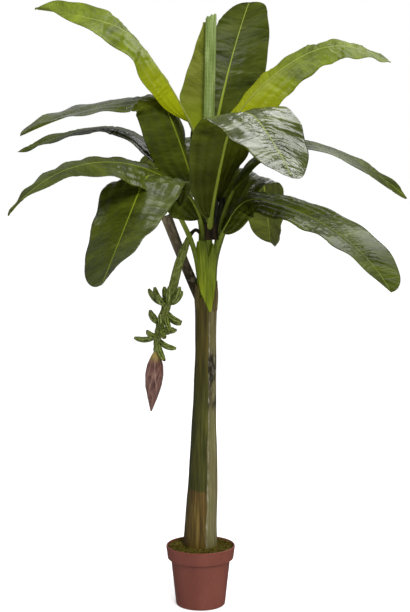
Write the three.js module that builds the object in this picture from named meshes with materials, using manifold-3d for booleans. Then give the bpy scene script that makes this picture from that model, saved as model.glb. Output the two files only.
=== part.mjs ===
// An artificial banana plant, 2.13 m tall, in a terracotta-coloured plastic pot.
// Millimetres, +Z up. The origin is the centre of the pot's flat underside and the
// plant's front faces -Y. Angles are degrees: a heading of 0 points along +X and 90
// along +Y, and a rise of 90 points straight up.

import * as THREE from 'three';
import { mergeVertices } from 'three/addons/utils/BufferGeometryUtils.js';
import Module from 'manifold-3d';

const wasm = await Module();
wasm.setup();

// Clear gap between neighbouring pieces
const GAP = 0.3;

// Pot: a plain tapered body under an upright band, with a flat foot
const POT_FOOT_RADIUS = 87.5;
const POT_NECK_RADIUS = 105;
const POT_NECK_HEIGHT = 163;
const POT_BAND_FOOT_RADIUS = 117;
const POT_BAND_STEP = 6;
const POT_RIM_RADIUS = 122.5;
const POT_HEIGHT = 215;
const POT_LIP = 6;
const POT_WALL = 3.5;
const POT_FLOOR = 5;
const POT_SIDES = 40;

// Filling and the moss on it
const FILLING_TOP = 178;
const MOSS_EDGE = 201;
const MOSS_CROWN = 212;

// Trunk: centre line and half widths, each by height above the floor
const TRUNK_FOOT = FILLING_TOP + GAP;
const TRUNK_TOP = 1100;
const TRUNK_LEAN = [[178, -1], [270, 0], [480, 10], [690, 14], [910, 19], [1100, 20]];
const TRUNK_RADIUS = [[178, 62], [270, 57.5], [480, 50.5], [690, 41], [910, 36], [1020, 36.5], [1100, 39]];
const TRUNK_SIDES = 20;
const TRUNK_RINGS = 10;

// Brown core that the youngest leaves grow out of
const CORE_X = 20;
const CORE_RADIUS = 17;
const CORE_TOP = 1345;

// Leaf stalks stand in two rings: the older ones round the core, the younger ones on it
const OUTER_RING_RADIUS = 26.5;
const INNER_RING_RADIUS = 10;
const STALK_FOOT_RADIUS = 8;
const STALK_TIP_RADIUS = 6.5;
const YOUNG_STALK_RADIUS = 6;
const STALK_EASE = 0.42;
const STALK_SIDES = 8;
const STALK_RINGS = 8;
const STALK_OVERLAP = 0.05;

// Leaf blades
const BLADE_BASE = 0.26;
const BLADE_WIDEST = 0.32;
const BLADE_BLUNTNESS = 4;
const BLADE_END_POWER = 0.55;
const MIDRIB_THICKNESS = 8;
const MARGIN_THICKNESS = 4;
const TIP_HALF_WIDTH = 6;
const ACROSS = [-1, -0.55, 0, 0.55, 1];
const INNER_STATIONS = 10;
const OUTER_STATIONS = 10;
const STATION_CROWDING = 1.35;
const SPINE_STEPS = 64;

// Each leaf: ring and place give its seat in the crown. From its start the leaf heads
// off at head and rise, turned round its midrib by roll. bend is the droop at the share
// `at` of its length, spread over `over`; arch is the droop spread along all of it. skew
// slants the line that the leaf bends about and twist turns it round its midrib. fold
// is how far the left and right halves stand above the flat, at the base and the tip.
const LEAVES = [
  {
    name: 'leaf_front', ring: 'outer', place: 285, start: [18, -9, 1272],
    head: -66, rise: 69, roll: 13, skew: 11, bend: 89, at: 0.58, over: 0.35, arch: 35, archPower: 1.7,
    twist: -35, stalk: 118, blade: 803, half: 149, foldLeft: [43, -25], foldRight: [-32, 14], split: 0.54,
  },
  {
    name: 'leaf_front_left', ring: 'outer', place: 213, start: [10, -7, 1233],
    head: 224, rise: 53, roll: 21, skew: -16, bend: 106, at: 0.42, over: 0.25, arch: -2, archPower: 1.3,
    twist: 39, stalk: 227, blade: 706, half: 138, foldLeft: [-32, 22], foldRight: [3, -12], split: 0.3,
  },
  {
    name: 'leaf_low_right', ring: 'outer', place: 322, start: [35, -6, 1244],
    head: -25, rise: 62, roll: 8, skew: -25, bend: 73, at: 0.26, over: 0.2, arch: 56, archPower: 1.5,
    twist: 20, stalk: 94, blade: 812, half: 128, foldLeft: [23, 46], foldRight: [-47, -17], split: 0.39,
  },
  {
    name: 'leaf_low_left', ring: 'outer', place: 249, start: [23, -9, 1249],
    head: 218, rise: 80, roll: 8, skew: -12, bend: 39, at: 0.18, over: 0.3, arch: 97, archPower: 1.5,
    twist: 12, stalk: 129, blade: 874, half: 127, foldLeft: [-93, 35], foldRight: [34, -28], split: 0.37,
  },
  {
    name: 'leaf_mid_left', ring: 'outer', place: 178, start: [25, -13, 1307],
    head: 203, rise: 75, roll: -25, skew: 17, bend: 78, at: 0.51, over: 0.15, arch: 30, archPower: 1.5,
    twist: -22, stalk: 191, blade: 809, half: 131, foldLeft: [-66, 2], foldRight: [-9, 32], split: 0.44,
  },
  {
    name: 'leaf_upper_left', ring: 'inner', place: 190, start: [35, -5, 1494],
    head: 213, rise: 78, roll: -13, skew: -35, bend: 34, at: 0.67, over: 0.17, arch: 59, archPower: 0.8,
    twist: 13, stalk: 223, blade: 690, half: 125, foldLeft: [-74, 34], foldRight: [-2, 3], split: 0.5,
  },
  {
    name: 'leaf_upper_right', ring: 'inner', place: 350, start: [7, -4, 1476],
    head: -24, rise: 71, roll: 19, skew: 6, bend: 24, at: 0.77, over: 0.28, arch: 80, archPower: 1.3,
    twist: 11, stalk: 207, blade: 694, half: 122, foldLeft: [9, -4], foldRight: [-60, 8], split: 0.5,
  },
  {
    name: 'leaf_top', ring: 'inner', place: 80, start: [8, -4, 1354],
    head: 46, rise: 84, roll: 2, skew: 22, bend: 78, at: 1.01, over: 0.18, arch: 31, archPower: 1,
    twist: 20, stalk: 200, blade: 667, half: 133, foldLeft: [-18, -16], foldRight: [-49, 32], split: 0,
  },
  {
    name: 'leaf_back_right', ring: 'outer', place: 33, start: [27, 0, 1241],
    head: 45, rise: 51, roll: -1, skew: 24, bend: 109, at: 0.46, over: 0.19, arch: -1, archPower: 1.3,
    twist: -1, stalk: 184, blade: 655, half: 118, foldLeft: [7, -22], foldRight: [15, -17], split: 0.32,
  },
  {
    name: 'leaf_right', ring: 'outer', place: 358, start: [31, -8, 1231],
    head: 8, rise: 79, roll: -9, skew: -2, bend: 60, at: 0.47, over: 0.47, arch: 60, archPower: 1,
    twist: 20, stalk: 253, blade: 741, half: 119, foldLeft: [-3, 13], foldRight: [-6, -12], split: 0.31,
  },
  {
    name: 'leaf_left', ring: 'outer', place: 143, start: [29, -1, 1363],
    head: 171, rise: 57, roll: 2, skew: 3, bend: 45, at: 0.52, over: 0.32, arch: 34, archPower: 1.1,
    twist: -18, stalk: 165, blade: 686, half: 119, foldLeft: [-6, -7], foldRight: [-17, 14], split: 0.39,
  },
  {
    name: 'leaf_back', ring: 'outer', place: 69, start: [26, 20, 1270],
    head: 88, rise: 70, roll: 0, skew: 8, bend: 90, at: 0.5, over: 0.26, arch: 20, archPower: 1.3,
    twist: 0, stalk: 200, blade: 660, half: 118, foldLeft: [5, 0], foldRight: [5, 0], split: 0.36,
  },
  {
    name: 'leaf_back_left', ring: 'outer', place: 106, start: [16, 14, 1290],
    head: 126, rise: 72, roll: 0, skew: -12, bend: 84, at: 0.44, over: 0.26, arch: 24, archPower: 1.3,
    twist: 0, stalk: 190, blade: 640, half: 116, foldLeft: [4, 0], foldRight: [4, 0], split: 0.34,
  },
];

// Youngest leaf: a pale roll, still half wrapped, with one loose half standing off it
const ROLL_PLACE = 278;
const ROLL_TOP = 2068;
const ROLL_TOP_X = 38;
const ROLL_TOP_Y = -6;
const ROLL_RADII = [[0, 5.5], [0.15, 13], [0.3, 19], [0.6, 21], [0.9, 21], [1, 20]];
const ROLL_SIDES = 10;
const FLAP_THICKNESS = 7;
const FLAP_REACH = 100;
const FLAP_TOP_REACH = 16;
const FLAP_TOP = 2048;
const FLAP_ELBOW = 1794;
const FLAP_FOOT = 1560;

// Pointed green sheath that wraps the front of the crown: half its angle by height
const SHEATH_HEADING = 262;
const SHEATH_THICKNESS = 3.5;
const SHEATH_HALF_ANGLE = [[1050, 5], [1092, 30], [1160, 50], [1240, 54], [1300, 46]];
const SHEATH_INSIDE = [[1050, 39.6], [1112, 39.6], [1170, 37], [1300, 42]];
const SHEATH_HEIGHTS = [1050, 1070, 1092, 1125, 1160, 1235, 1300];
const SHEATH_POINTS = 7;

// Old brown leaf stalk that leans out on the left, cut off flat
const OLD_STALK_FOOT = [18, 8, 1040];
const OLD_STALK_TOP = [-117, 20, 1385];
const OLD_STALK_RADII = [[0, 17.5], [1, 16]];

// Fruit stalk: a thin hook leaves the crown, thickens over the left side and hangs
const FRUIT_STALK_PATH = [
  [0, -14, 1322], [-17, -26, 1334], [-36, -38, 1316], [-50, -46, 1283],
  [-62, -52, 1252], [-78, -57, 1206], [-96, -60, 1133], [-104, -60, 1112],
];
const FRUIT_STALK_RADII = [[0, 5], [0.2, 7], [0.42, 15], [1, 16]];
const BUNCH_PATH = [
  [-104, -60, 1111.5], [-112, -60, 1091], [-126, -60, 1045],
  [-140, -60, 1003], [-149, -60, 961], [-152.2, -60, 914.6],
];
const BUNCH_RADII = [[0, 16], [0.5, 14.5], [1, 11]];

// Hands of bananas: headings spread evenly between two, each finger lifted off level
const HANDS = [
  { height: 1078, from: 60, to: 370, count: 8, lift: 34, length: 84 },
  { height: 1064, from: -65, to: 25, count: 3, lift: -60, length: 88 },
  { height: 1014, from: 120, to: 270, count: 4, lift: 26, length: 70 },
  { height: 1002, from: -70, to: 55, count: 4, lift: -28, length: 66 },
  { height: 974, from: 165, to: 240, count: 2, lift: -8, length: 88 },
  { height: 966, from: -60, to: 10, count: 2, lift: -56, length: 92 },
];
const FINGER_RADIUS = 9.5;
const FINGER_RADII = [[0, 4.5], [0.25, 8], [0.55, FINGER_RADIUS], [0.85, 7.5], [1, 3.5]];
const FINGER_CURL = 22;
const FINGER_SIDES = 6;
const FINGER_RINGS = 5;

// Flower bud below the bunch
const BUD_TOP = [-152.2, -60, 914];
const BUD_TIP = [-172, -58, 705];
const BUD_RADII = [[0, 9], [0.08, 17], [0.22, 28], [0.38, 32], [0.6, 28], [0.8, 17], [0.93, 8], [1, 2.5]];
const BUD_SIDES = 12;

const rad = THREE.MathUtils.degToRad;
const clamp = THREE.MathUtils.clamp;

// Value at x of a piecewise straight line through the given pairs
function along(pairs, x) {
  if (x <= pairs[0][0]) return pairs[0][1];
  for (let i = 1; i < pairs.length; i += 1) {
    if (x > pairs[i][0]) continue;
    const share = (x - pairs[i - 1][0]) / (pairs[i][0] - pairs[i - 1][0]);
    return THREE.MathUtils.lerp(pairs[i - 1][1], pairs[i][1], share);
  }
  return pairs[pairs.length - 1][1];
}

// Closed body through rings of points, each ring counter-clockwise seen from the last
// ring. Rungs between opposite points close each end, so a thin bent section stays true.
function loft(rings) {
  const count = rings[0].length;
  const faces = [];
  for (let k = 0; k + 1 < rings.length; k += 1) {
    for (let i = 0; i < count; i += 1) {
      const j = (i + 1) % count;
      const a = k * count;
      const b = a + count;
      faces.push(a + i, a + j, b + j, a + i, b + j, b + i);
    }
  }
  const last = (rings.length - 1) * count;
  for (let i = 0; i + 1 < count / 2; i += 1) {
    const [p, q, r, t] = [i, i + 1, count - 2 - i, count - 1 - i];
    faces.push(p, r, q, p, t, r);
    faces.push(last + p, last + q, last + r, last + p, last + r, last + t);
  }
  const points = rings.flat().flatMap((p) => p.toArray());
  const geometry = new THREE.BufferGeometry();
  geometry.setAttribute('position', new THREE.Float32BufferAttribute(points, 3));
  geometry.setIndex(faces);
  return geometry;
}

// Ring of points round a centre, in the plane of two directions
function ringAt(centre, radius, sides, across, up) {
  return Array.from({ length: sides }, (_, i) => {
    const angle = (2 * Math.PI * i) / sides;
    return centre.clone()
      .addScaledVector(across, radius * Math.cos(angle))
      .addScaledVector(up, radius * Math.sin(angle));
  });
}

// Tapering round limb along a curve; radiusAt gives its radius at a share of its length
function limb(curve, radiusAt, sides, rings) {
  const frames = curve.computeFrenetFrames(rings - 1, false);
  return loft(Array.from({ length: rings }, (_, i) => {
    const share = i / (rings - 1);
    return ringAt(curve.getPointAt(share), radiusAt(share), sides, frames.normals[i], frames.binormals[i]);
  }));
}

function smoothPath(points) {
  return new THREE.CatmullRomCurve3(points.map((p) => new THREE.Vector3(...p)), false, 'centripetal');
}

// Manifold solids: the booleans and the joins. Corners nearer than WELD are one.
const WELD = 2e-3;

function toManifold(geometry) {
  const bare = geometry.clone();
  bare.deleteAttribute('normal');
  bare.deleteAttribute('uv');
  const merged = mergeVertices(bare, WELD);
  const mesh = new wasm.Mesh({
    numProp: 3,
    vertProperties: new Float32Array(merged.attributes.position.array),
    triVerts: new Uint32Array(merged.index.array),
  });
  return new wasm.Manifold(mesh);
}

function toGeometry(solid) {
  const mesh = solid.getMesh();
  const geometry = new THREE.BufferGeometry();
  geometry.setAttribute('position', new THREE.Float32BufferAttribute(mesh.vertProperties, 3));
  geometry.setIndex(Array.from(mesh.triVerts));
  const flat = geometry.toNonIndexed();
  flat.computeVertexNormals();
  return flat;
}

function boxesMeet(a, b) {
  const p = a.boundingBox();
  const q = b.boundingBox();
  return [0, 1, 2].every((k) => p.min[k] < q.max[k] && q.min[k] < p.max[k]);
}

// The solid with every neighbour's grown copy cut away, as its one largest body
function clearOf(solid, neighbours) {
  const near = neighbours.filter((other) => boxesMeet(solid, other));
  const cut = near.reduce((body, other) => body.subtract(other), solid);
  const bodies = toManifold(toGeometry(cut)).decompose();
  return bodies.sort((a, b) => b.volume() - a.volume())[0];
}

// Share of the full half width at share t of the blade: round base, blunt tip
function outlineAt(t) {
  const rise = Math.sqrt(Math.max(0, 1 - (1 - clamp(t / BLADE_BASE, 0, 1)) ** 2));
  const past = clamp((t - BLADE_WIDEST) / (1 - BLADE_WIDEST), 0, 1);
  return rise * (1 - past ** BLADE_BLUNTNESS) ** BLADE_END_POWER;
}

// Droop in degrees at share x of a leaf's whole length
function droopAt(leaf, x) {
  const eased = THREE.MathUtils.smoothstep(x, leaf.at - leaf.over / 2, leaf.at + leaf.over / 2);
  return leaf.arch * Math.max(x, 0) ** leaf.archPower + leaf.bend * eased;
}

// Midrib line of a leaf as frames in short steps: point, direction and left-hand side.
// Each step turns the leaf about its slanted bend line by its share of the droop, and
// about the midrib by its share of the twist.
function spineOf(leaf) {
  const total = leaf.stalk + leaf.blade;
  const head = rad(leaf.head);
  const rise = rad(leaf.rise);
  const slant = rad(leaf.skew);
  const point = new THREE.Vector3(...leaf.start);
  const ahead = new THREE.Vector3(
    Math.cos(rise) * Math.cos(head), Math.cos(rise) * Math.sin(head), Math.sin(rise));
  const left = new THREE.Vector3(-Math.sin(head), Math.cos(head), 0).applyAxisAngle(ahead, rad(leaf.roll));
  const length = total * 1.2;
  const step = length / SPINE_STEPS;
  const frames = [{ point: point.clone(), ahead: ahead.clone(), left: left.clone() }];
  for (let i = 0; i < SPINE_STEPS; i += 1) {
    const x = (i * step) / total;
    const droop = rad(droopAt(leaf, x + step / total) - droopAt(leaf, x));
    const bendLine = left.clone().multiplyScalar(Math.cos(slant)).addScaledVector(ahead, Math.sin(slant));
    const before = ahead.clone();
    ahead.applyAxisAngle(bendLine, droop);
    left.applyAxisAngle(bendLine, droop).applyAxisAngle(ahead, rad(leaf.twist * step) / total);
    point.addScaledVector(before.add(ahead), step / 2);
    frames.push({ point: point.clone(), ahead: ahead.clone(), left: left.clone() });
  }
  return { frames, step, slant };
}

function frameAt(spine, distance) {
  const place = clamp(distance / spine.step, 0, spine.frames.length - 1.001);
  const i = Math.floor(place);
  const share = place - i;
  const [a, b] = [spine.frames[i], spine.frames[i + 1]];
  return {
    point: a.point.clone().lerp(b.point, share),
    ahead: a.ahead.clone().lerp(b.ahead, share).normalize(),
    left: a.left.clone().lerp(b.left, share).normalize(),
  };
}

// Point of the leaf: distance along the flat midrib, offset to its left, lift off it
function surfaceAt(spine, distance, offset, lift) {
  const frame = frameAt(spine, distance - offset * Math.tan(spine.slant));
  const ruling = frame.left.clone().multiplyScalar(Math.cos(spine.slant))
    .addScaledVector(frame.ahead, Math.sin(spine.slant));
  const normal = frame.ahead.clone().cross(frame.left);
  return frame.point.addScaledVector(ruling, offset / Math.cos(spine.slant)).addScaledVector(normal, lift);
}

// The two blade pieces of a leaf as shares of its length, or one where it isn't split
function bladeSpans(leaf) {
  if (leaf.split === 0) return [{ from: 0, to: 1, stations: INNER_STATIONS + OUTER_STATIONS }];
  const half = GAP / leaf.blade / 2;
  return [
    { from: 0, to: leaf.split - half, stations: INNER_STATIONS },
    { from: leaf.split + half, to: 1, stations: OUTER_STATIONS },
  ];
}

// Shares that crowd towards the base and the tip of a blade, where its outline is round
function crowded(share, from, to) {
  if (from === 0 && to === 1) return (1 - Math.cos(Math.PI * share)) / 2;
  return from === 0 ? share ** STATION_CROWDING : 1 - (1 - share) ** STATION_CROWDING;
}

// Blade over one span, thick at the midrib and thinner at its margins
function bladeSolid(leaf, spine, { from, to, stations }, grow) {
  const rings = Array.from({ length: stations }, (_, i) => {
    const t = THREE.MathUtils.lerp(from, to, crowded(i / (stations - 1), from, to));
    const endGrow = i === 0 ? -grow : (i === stations - 1 ? grow : 0);
    const distance = leaf.stalk + t * leaf.blade + endGrow;
    const width = Math.max(leaf.half * outlineAt(t), TIP_HALF_WIDTH) + grow;
    const side = (across, sign) => {
      const [base, tip] = across > 0 ? leaf.foldLeft : leaf.foldRight;
      const fold = rad(THREE.MathUtils.lerp(base, tip, t));
      const thick = THREE.MathUtils.lerp(MIDRIB_THICKNESS, MARGIN_THICKNESS, Math.abs(across)) / 2 + grow;
      const offset = across * width * Math.cos(fold) - sign * Math.sign(across) * thick * Math.sin(fold);
      const lift = Math.abs(across) * width * Math.sin(fold) + sign * thick * Math.cos(fold);
      return surfaceAt(spine, distance, offset, lift);
    };
    const under = ACROSS.map((across) => side(across, -1));
    const upper = ACROSS.map((across) => side(across, 1)).reverse();
    return [...upper, ...under];
  });
  return loft(rings);
}

// Stalk from its seat in the crown to a little way into the blade
function stalkSolid(leaf, spine, grow) {
  const outer = leaf.ring === 'outer';
  const radius = outer ? OUTER_RING_RADIUS : INNER_RING_RADIUS;
  const seat = (outer ? TRUNK_TOP : CORE_TOP) + GAP;
  const foot = new THREE.Vector3(
    CORE_X + radius * Math.cos(rad(leaf.place)), radius * Math.sin(rad(leaf.place)), seat);
  const end = frameAt(spine, leaf.stalk);
  const reach = foot.distanceTo(end.point) * STALK_EASE;
  const path = new THREE.CurvePath();
  path.add(new THREE.CubicBezierCurve3(
    foot, foot.clone().add(new THREE.Vector3(0, 0, reach)),
    end.point.clone().addScaledVector(end.ahead, -reach), end.point));
  path.add(new THREE.LineCurve3(end.point, frameAt(spine, leaf.stalk + STALK_OVERLAP * leaf.blade).point));
  const footRadius = outer ? STALK_FOOT_RADIUS : YOUNG_STALK_RADIUS;
  const radiusAt = (share) => THREE.MathUtils.lerp(footRadius, STALK_TIP_RADIUS, share) + grow;
  return limb(path, radiusAt, STALK_SIDES, STALK_RINGS);
}

// Nodes
const group = new THREE.Group();

function addNode(name, geometry, colour, roughness) {
  const material = new THREE.MeshStandardMaterial({ color: colour, roughness, metalness: 0 });
  const mesh = new THREE.Mesh(geometry, material);
  mesh.name = name;
  group.add(mesh);
}

const TERRACOTTA = '#9c5238';
const CEMENT = '#8d8a84';
const MOSS = '#6f6a3c';
const TRUNK_OLIVE = '#6b6236';
const CORE_BROWN = '#4a3a26';
const OLD_BROWN = '#54483c';
const FRUIT_GREEN = '#4d5a2a';
const BUD_PURPLE = '#5d4436';
const LEAF_GREEN = '#3f4f1f';
const YOUNG_GREEN = '#8a9a34';

function potProfile() {
  const rimInner = POT_RIM_RADIUS - POT_LIP;
  return [
    [0, 0], [POT_FOOT_RADIUS - 4, 0], [POT_FOOT_RADIUS, 4],
    [POT_NECK_RADIUS, POT_NECK_HEIGHT], [POT_BAND_FOOT_RADIUS, POT_NECK_HEIGHT + POT_BAND_STEP],
    [POT_RIM_RADIUS, POT_HEIGHT - 3], [POT_RIM_RADIUS - 2, POT_HEIGHT],
    [rimInner + 1, POT_HEIGHT], [rimInner, POT_HEIGHT - 2],
    [POT_BAND_FOOT_RADIUS - POT_WALL - 2, POT_NECK_HEIGHT + POT_BAND_STEP + 2],
    [POT_NECK_RADIUS - POT_WALL, POT_NECK_HEIGHT - 1],
    [POT_FOOT_RADIUS - POT_WALL, POT_FLOOR], [0, POT_FLOOR],
  ];
}

function turned(profile, sides) {
  const points = profile.map(([radius, height]) => new THREE.Vector2(radius, height));
  return new THREE.LatheGeometry(points, sides).rotateX(Math.PI / 2);
}

// Inner radius of the pot at a height
function potInside(height) {
  return along([
    [POT_FLOOR, POT_FOOT_RADIUS - POT_WALL],
    [POT_NECK_HEIGHT - 1, POT_NECK_RADIUS - POT_WALL],
    [POT_NECK_HEIGHT + POT_BAND_STEP + 2, POT_BAND_FOOT_RADIUS - POT_WALL - 2],
    [POT_HEIGHT - 2, POT_RIM_RADIUS - POT_LIP],
  ], height);
}

function fillingProfile() {
  const foot = POT_FLOOR + GAP;
  const heights = [foot, POT_NECK_HEIGHT - 1, POT_NECK_HEIGHT + POT_BAND_STEP + 2, FILLING_TOP];
  return [[0, foot], ...heights.map((h) => [potInside(h) - 2 * GAP, h]), [0, FILLING_TOP]];
}

function mossProfile() {
  const foot = FILLING_TOP + GAP;
  const edge = potInside(foot) - 2 * GAP;
  return [
    [0, foot], [edge, foot], [potInside(MOSS_EDGE) - 2 * GAP, MOSS_EDGE],
    [edge * 0.8, MOSS_CROWN - 3], [edge * 0.5, MOSS_CROWN], [0, MOSS_CROWN],
  ];
}

function trunkSolid(grow) {
  const across = new THREE.Vector3(1, 0, 0);
  const up = new THREE.Vector3(0, 1, 0);
  return loft(Array.from({ length: TRUNK_RINGS }, (_, i) => {
    const height = THREE.MathUtils.lerp(TRUNK_FOOT, TRUNK_TOP, i / (TRUNK_RINGS - 1));
    const centre = new THREE.Vector3(along(TRUNK_LEAN, height), 0, height);
    return ringAt(centre, along(TRUNK_RADIUS, height) + grow, TRUNK_SIDES, across, up);
  }));
}

function coreSolid(grow) {
  const height = CORE_TOP - TRUNK_TOP - GAP;
  return new THREE.CylinderGeometry(CORE_RADIUS - 1 + grow, CORE_RADIUS + grow, height, 20)
    .rotateX(Math.PI / 2)
    .translate(CORE_X, 0, TRUNK_TOP + GAP + height / 2);
}

function rollSolid(grow) {
  const place = rad(ROLL_PLACE);
  const foot = new THREE.Vector3(
    CORE_X + INNER_RING_RADIUS * Math.cos(place), INNER_RING_RADIUS * Math.sin(place), CORE_TOP + GAP);
  const top = new THREE.Vector3(ROLL_TOP_X, ROLL_TOP_Y, ROLL_TOP);
  const across = new THREE.Vector3(1, 0, 0);
  const back = new THREE.Vector3(0, 1, 0);
  return loft(ROLL_RADII.map(([share, radius]) => (
    ringAt(foot.clone().lerp(top, share), radius + grow, ROLL_SIDES, across, back))));
}

// Loose half of the young leaf: a flat blade that stands out to the left of the roll
function flapSolid(grow) {
  const edge = ROLL_TOP_X - 12 + grow;
  const shape = new THREE.Shape();
  shape.moveTo(edge, FLAP_TOP);
  shape.lineTo(edge - FLAP_TOP_REACH, FLAP_TOP);
  shape.lineTo(edge - FLAP_REACH, FLAP_ELBOW);
  shape.quadraticCurveTo(edge - FLAP_REACH, FLAP_FOOT + 90, edge, FLAP_FOOT);
  shape.lineTo(edge, FLAP_TOP);
  const bevel = { bevelEnabled: grow > 0, bevelSegments: 1, bevelSize: grow, bevelThickness: grow };
  return new THREE.ExtrudeGeometry(shape, { depth: FLAP_THICKNESS, curveSegments: 8, ...bevel })
    .rotateX(Math.PI / 2)
    .translate(0, ROLL_TOP_Y + 18, 0);
}

// Sheath shell, open at the back: each ring runs round its outside and back inside
function sheathSolid() {
  return loft(SHEATH_HEIGHTS.map((height) => {
    const half = along(SHEATH_HALF_ANGLE, height);
    const inside = along(SHEATH_INSIDE, height);
    const arc = (radius) => Array.from({ length: SHEATH_POINTS }, (_, i) => {
      const angle = rad(SHEATH_HEADING + half * ((2 * i) / (SHEATH_POINTS - 1) - 1));
      return new THREE.Vector3(CORE_X + radius * Math.cos(angle), radius * Math.sin(angle), height);
    });
    return [...arc(inside + SHEATH_THICKNESS), ...arc(inside).reverse()];
  }));
}

function taperedLimb(points, radii, sides, rings, grow) {
  return limb(smoothPath(points), (share) => along(radii, share) + grow, sides, rings);
}

// One banana: it leaves the stalk, then curls upward to a short blunt end
function fingerSolid(root, heading, lift, length) {
  const reach = (share, angle) => new THREE.Vector3(
    Math.cos(rad(heading)) * Math.cos(rad(angle)),
    Math.sin(rad(heading)) * Math.cos(rad(angle)),
    Math.sin(rad(angle))).multiplyScalar(share * length).add(root);
  const path = new THREE.QuadraticBezierCurve3(
    root, reach(0.55, lift - FINGER_CURL), reach(1, lift + FINGER_CURL / 2));
  return limb(path, (share) => along(FINGER_RADII, share), FINGER_SIDES, FINGER_RINGS);
}

function bunchSolid() {
  const path = smoothPath(BUNCH_PATH);
  const stalk = toManifold(taperedLimb(BUNCH_PATH, BUNCH_RADII, 10, 6, 0));
  const top = BUNCH_PATH[0][2];
  const foot = BUNCH_PATH[BUNCH_PATH.length - 1][2];
  const fingers = HANDS.flatMap((hand) => Array.from({ length: hand.count }, (_, i) => {
    const root = path.getPointAt((top - hand.height) / (top - foot));
    const heading = THREE.MathUtils.lerp(hand.from, hand.to, i / (hand.count - 1));
    const lift = hand.lift + 8 * (((i * 7) % 4) - 1.5);
    const length = hand.length * (1 - 0.08 * ((i * 5) % 3));
    return toManifold(fingerSolid(root, heading, lift, length));
  }));
  return fingers.reduce((body, finger) => body.add(finger), stalk);
}

// Grown copies, which the later pieces are cut clear of
const trunkRoom = toManifold(trunkSolid(GAP));
const coreRoom = toManifold(coreSolid(GAP));
const rollRoom = toManifold(rollSolid(GAP));
const oldStalkPath = [OLD_STALK_FOOT, OLD_STALK_TOP];
const oldStalkRoom = toManifold(taperedLimb(oldStalkPath, OLD_STALK_RADII, 12, 3, GAP));
const fruitStalkRoom = toManifold(taperedLimb(FRUIT_STALK_PATH, FRUIT_STALK_RADII, 10, 12, GAP));
const budRoom = toManifold(taperedLimb([BUD_TOP, BUD_TIP], BUD_RADII, BUD_SIDES, 10, GAP));
const spines = LEAVES.map((leaf) => spineOf(leaf));
const stalkRooms = LEAVES.map((leaf, i) => toManifold(stalkSolid(leaf, spines[i], GAP)));
const bladeRooms = LEAVES.map((leaf, i) => (
  bladeSpans(leaf).map((span) => toManifold(bladeSolid(leaf, spines[i], span, GAP)))));

addNode('pot', turned(potProfile(), POT_SIDES), TERRACOTTA, 0.55);
addNode('pot_filling', turned(fillingProfile(), POT_SIDES), CEMENT, 0.9);
addNode('moss', toGeometry(toManifold(turned(mossProfile(), POT_SIDES)).subtract(trunkRoom)), MOSS, 1);
addNode('trunk', trunkSolid(0), TRUNK_OLIVE, 0.6);
addNode('crown_core', coreSolid(0), CORE_BROWN, 0.8);
const sheath = clearOf(toManifold(sheathSolid()), [trunkRoom, fruitStalkRoom, ...stalkRooms]);
addNode('crown_sheath', toGeometry(sheath), YOUNG_GREEN, 0.5);

const oldStalk = toManifold(taperedLimb(oldStalkPath, OLD_STALK_RADII, 12, 3, 0));
const oldStalkClear = clearOf(oldStalk, [trunkRoom, coreRoom, ...stalkRooms]);
addNode('old_leaf_stalk', toGeometry(oldStalkClear), OLD_BROWN, 0.85);

const fruitStalk = toManifold(taperedLimb(FRUIT_STALK_PATH, FRUIT_STALK_RADII, 10, 12, 0));
const fruitStalkClear = clearOf(fruitStalk, [coreRoom, oldStalkRoom, ...stalkRooms]);
addNode('fruit_stalk', toGeometry(fruitStalkClear), FRUIT_GREEN, 0.6);
const bunch = clearOf(bunchSolid(), [fruitStalkRoom, oldStalkRoom, trunkRoom, budRoom]);
addNode('fruit_bunch', toGeometry(bunch), FRUIT_GREEN, 0.6);
addNode('flower_bud', taperedLimb([BUD_TOP, BUD_TIP], BUD_RADII, BUD_SIDES, 10, 0), BUD_PURPLE, 0.6);

const roll = clearOf(toManifold(rollSolid(0)), stalkRooms);
addNode('leaf_young_roll', toGeometry(roll), YOUNG_GREEN, 0.5);
const flap = clearOf(toManifold(flapSolid(0)), [rollRoom, ...stalkRooms]);
addNode('leaf_young_flap', toGeometry(flap), YOUNG_GREEN, 0.5);
const youngRooms = [rollRoom, toManifold(flapSolid(GAP))];

LEAVES.forEach((leaf, i) => {
  const spine = spines[i];
  const otherStalks = stalkRooms.filter((_, j) => j !== i);
  const earlierStalks = stalkRooms.slice(0, i);
  const earlierBlades = bladeRooms.slice(0, i).flat();
  const limbs = [coreRoom, trunkRoom, oldStalkRoom, fruitStalkRoom, ...youngRooms];
  const colour = leaf.name.includes('upper') ? YOUNG_GREEN : LEAF_GREEN;
  const stalk = clearOf(toManifold(stalkSolid(leaf, spine, 0)), [coreRoom, ...earlierStalks]);
  bladeSpans(leaf).forEach((span, part) => {
    const blade = toManifold(bladeSolid(leaf, spine, span, 0));
    const clear = clearOf(blade, [...limbs, ...otherStalks, ...earlierBlades]);
    const piece = part === 0 ? clear.add(stalk) : clearOf(clear, [stalkRooms[i], bladeRooms[i][0]]);
    addNode(`${leaf.name}_${part === 0 ? 'inner' : 'outer'}`, toGeometry(piece), colour, 0.45);
  });
});

export default group;
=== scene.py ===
# %% [markdown]
# # An artificial banana plant in a terracotta-coloured pot
#
# The object is a silk banana plant, 2.13 m tall. Its stem is wrapped in sheets that look like
# old leaf sheaths, and long printed-fabric leaves stand out of its top. A bunch of small green
# bananas and a purple flower bud hang on the left. It stands in a plain plastic pot.
#
# The frame is the imported model: one plain solid for each part, at its real size and place.
# The pieces below are finer versions of those solids, and a few fill gaps between them. So the
# frame comes first.

import math

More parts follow.
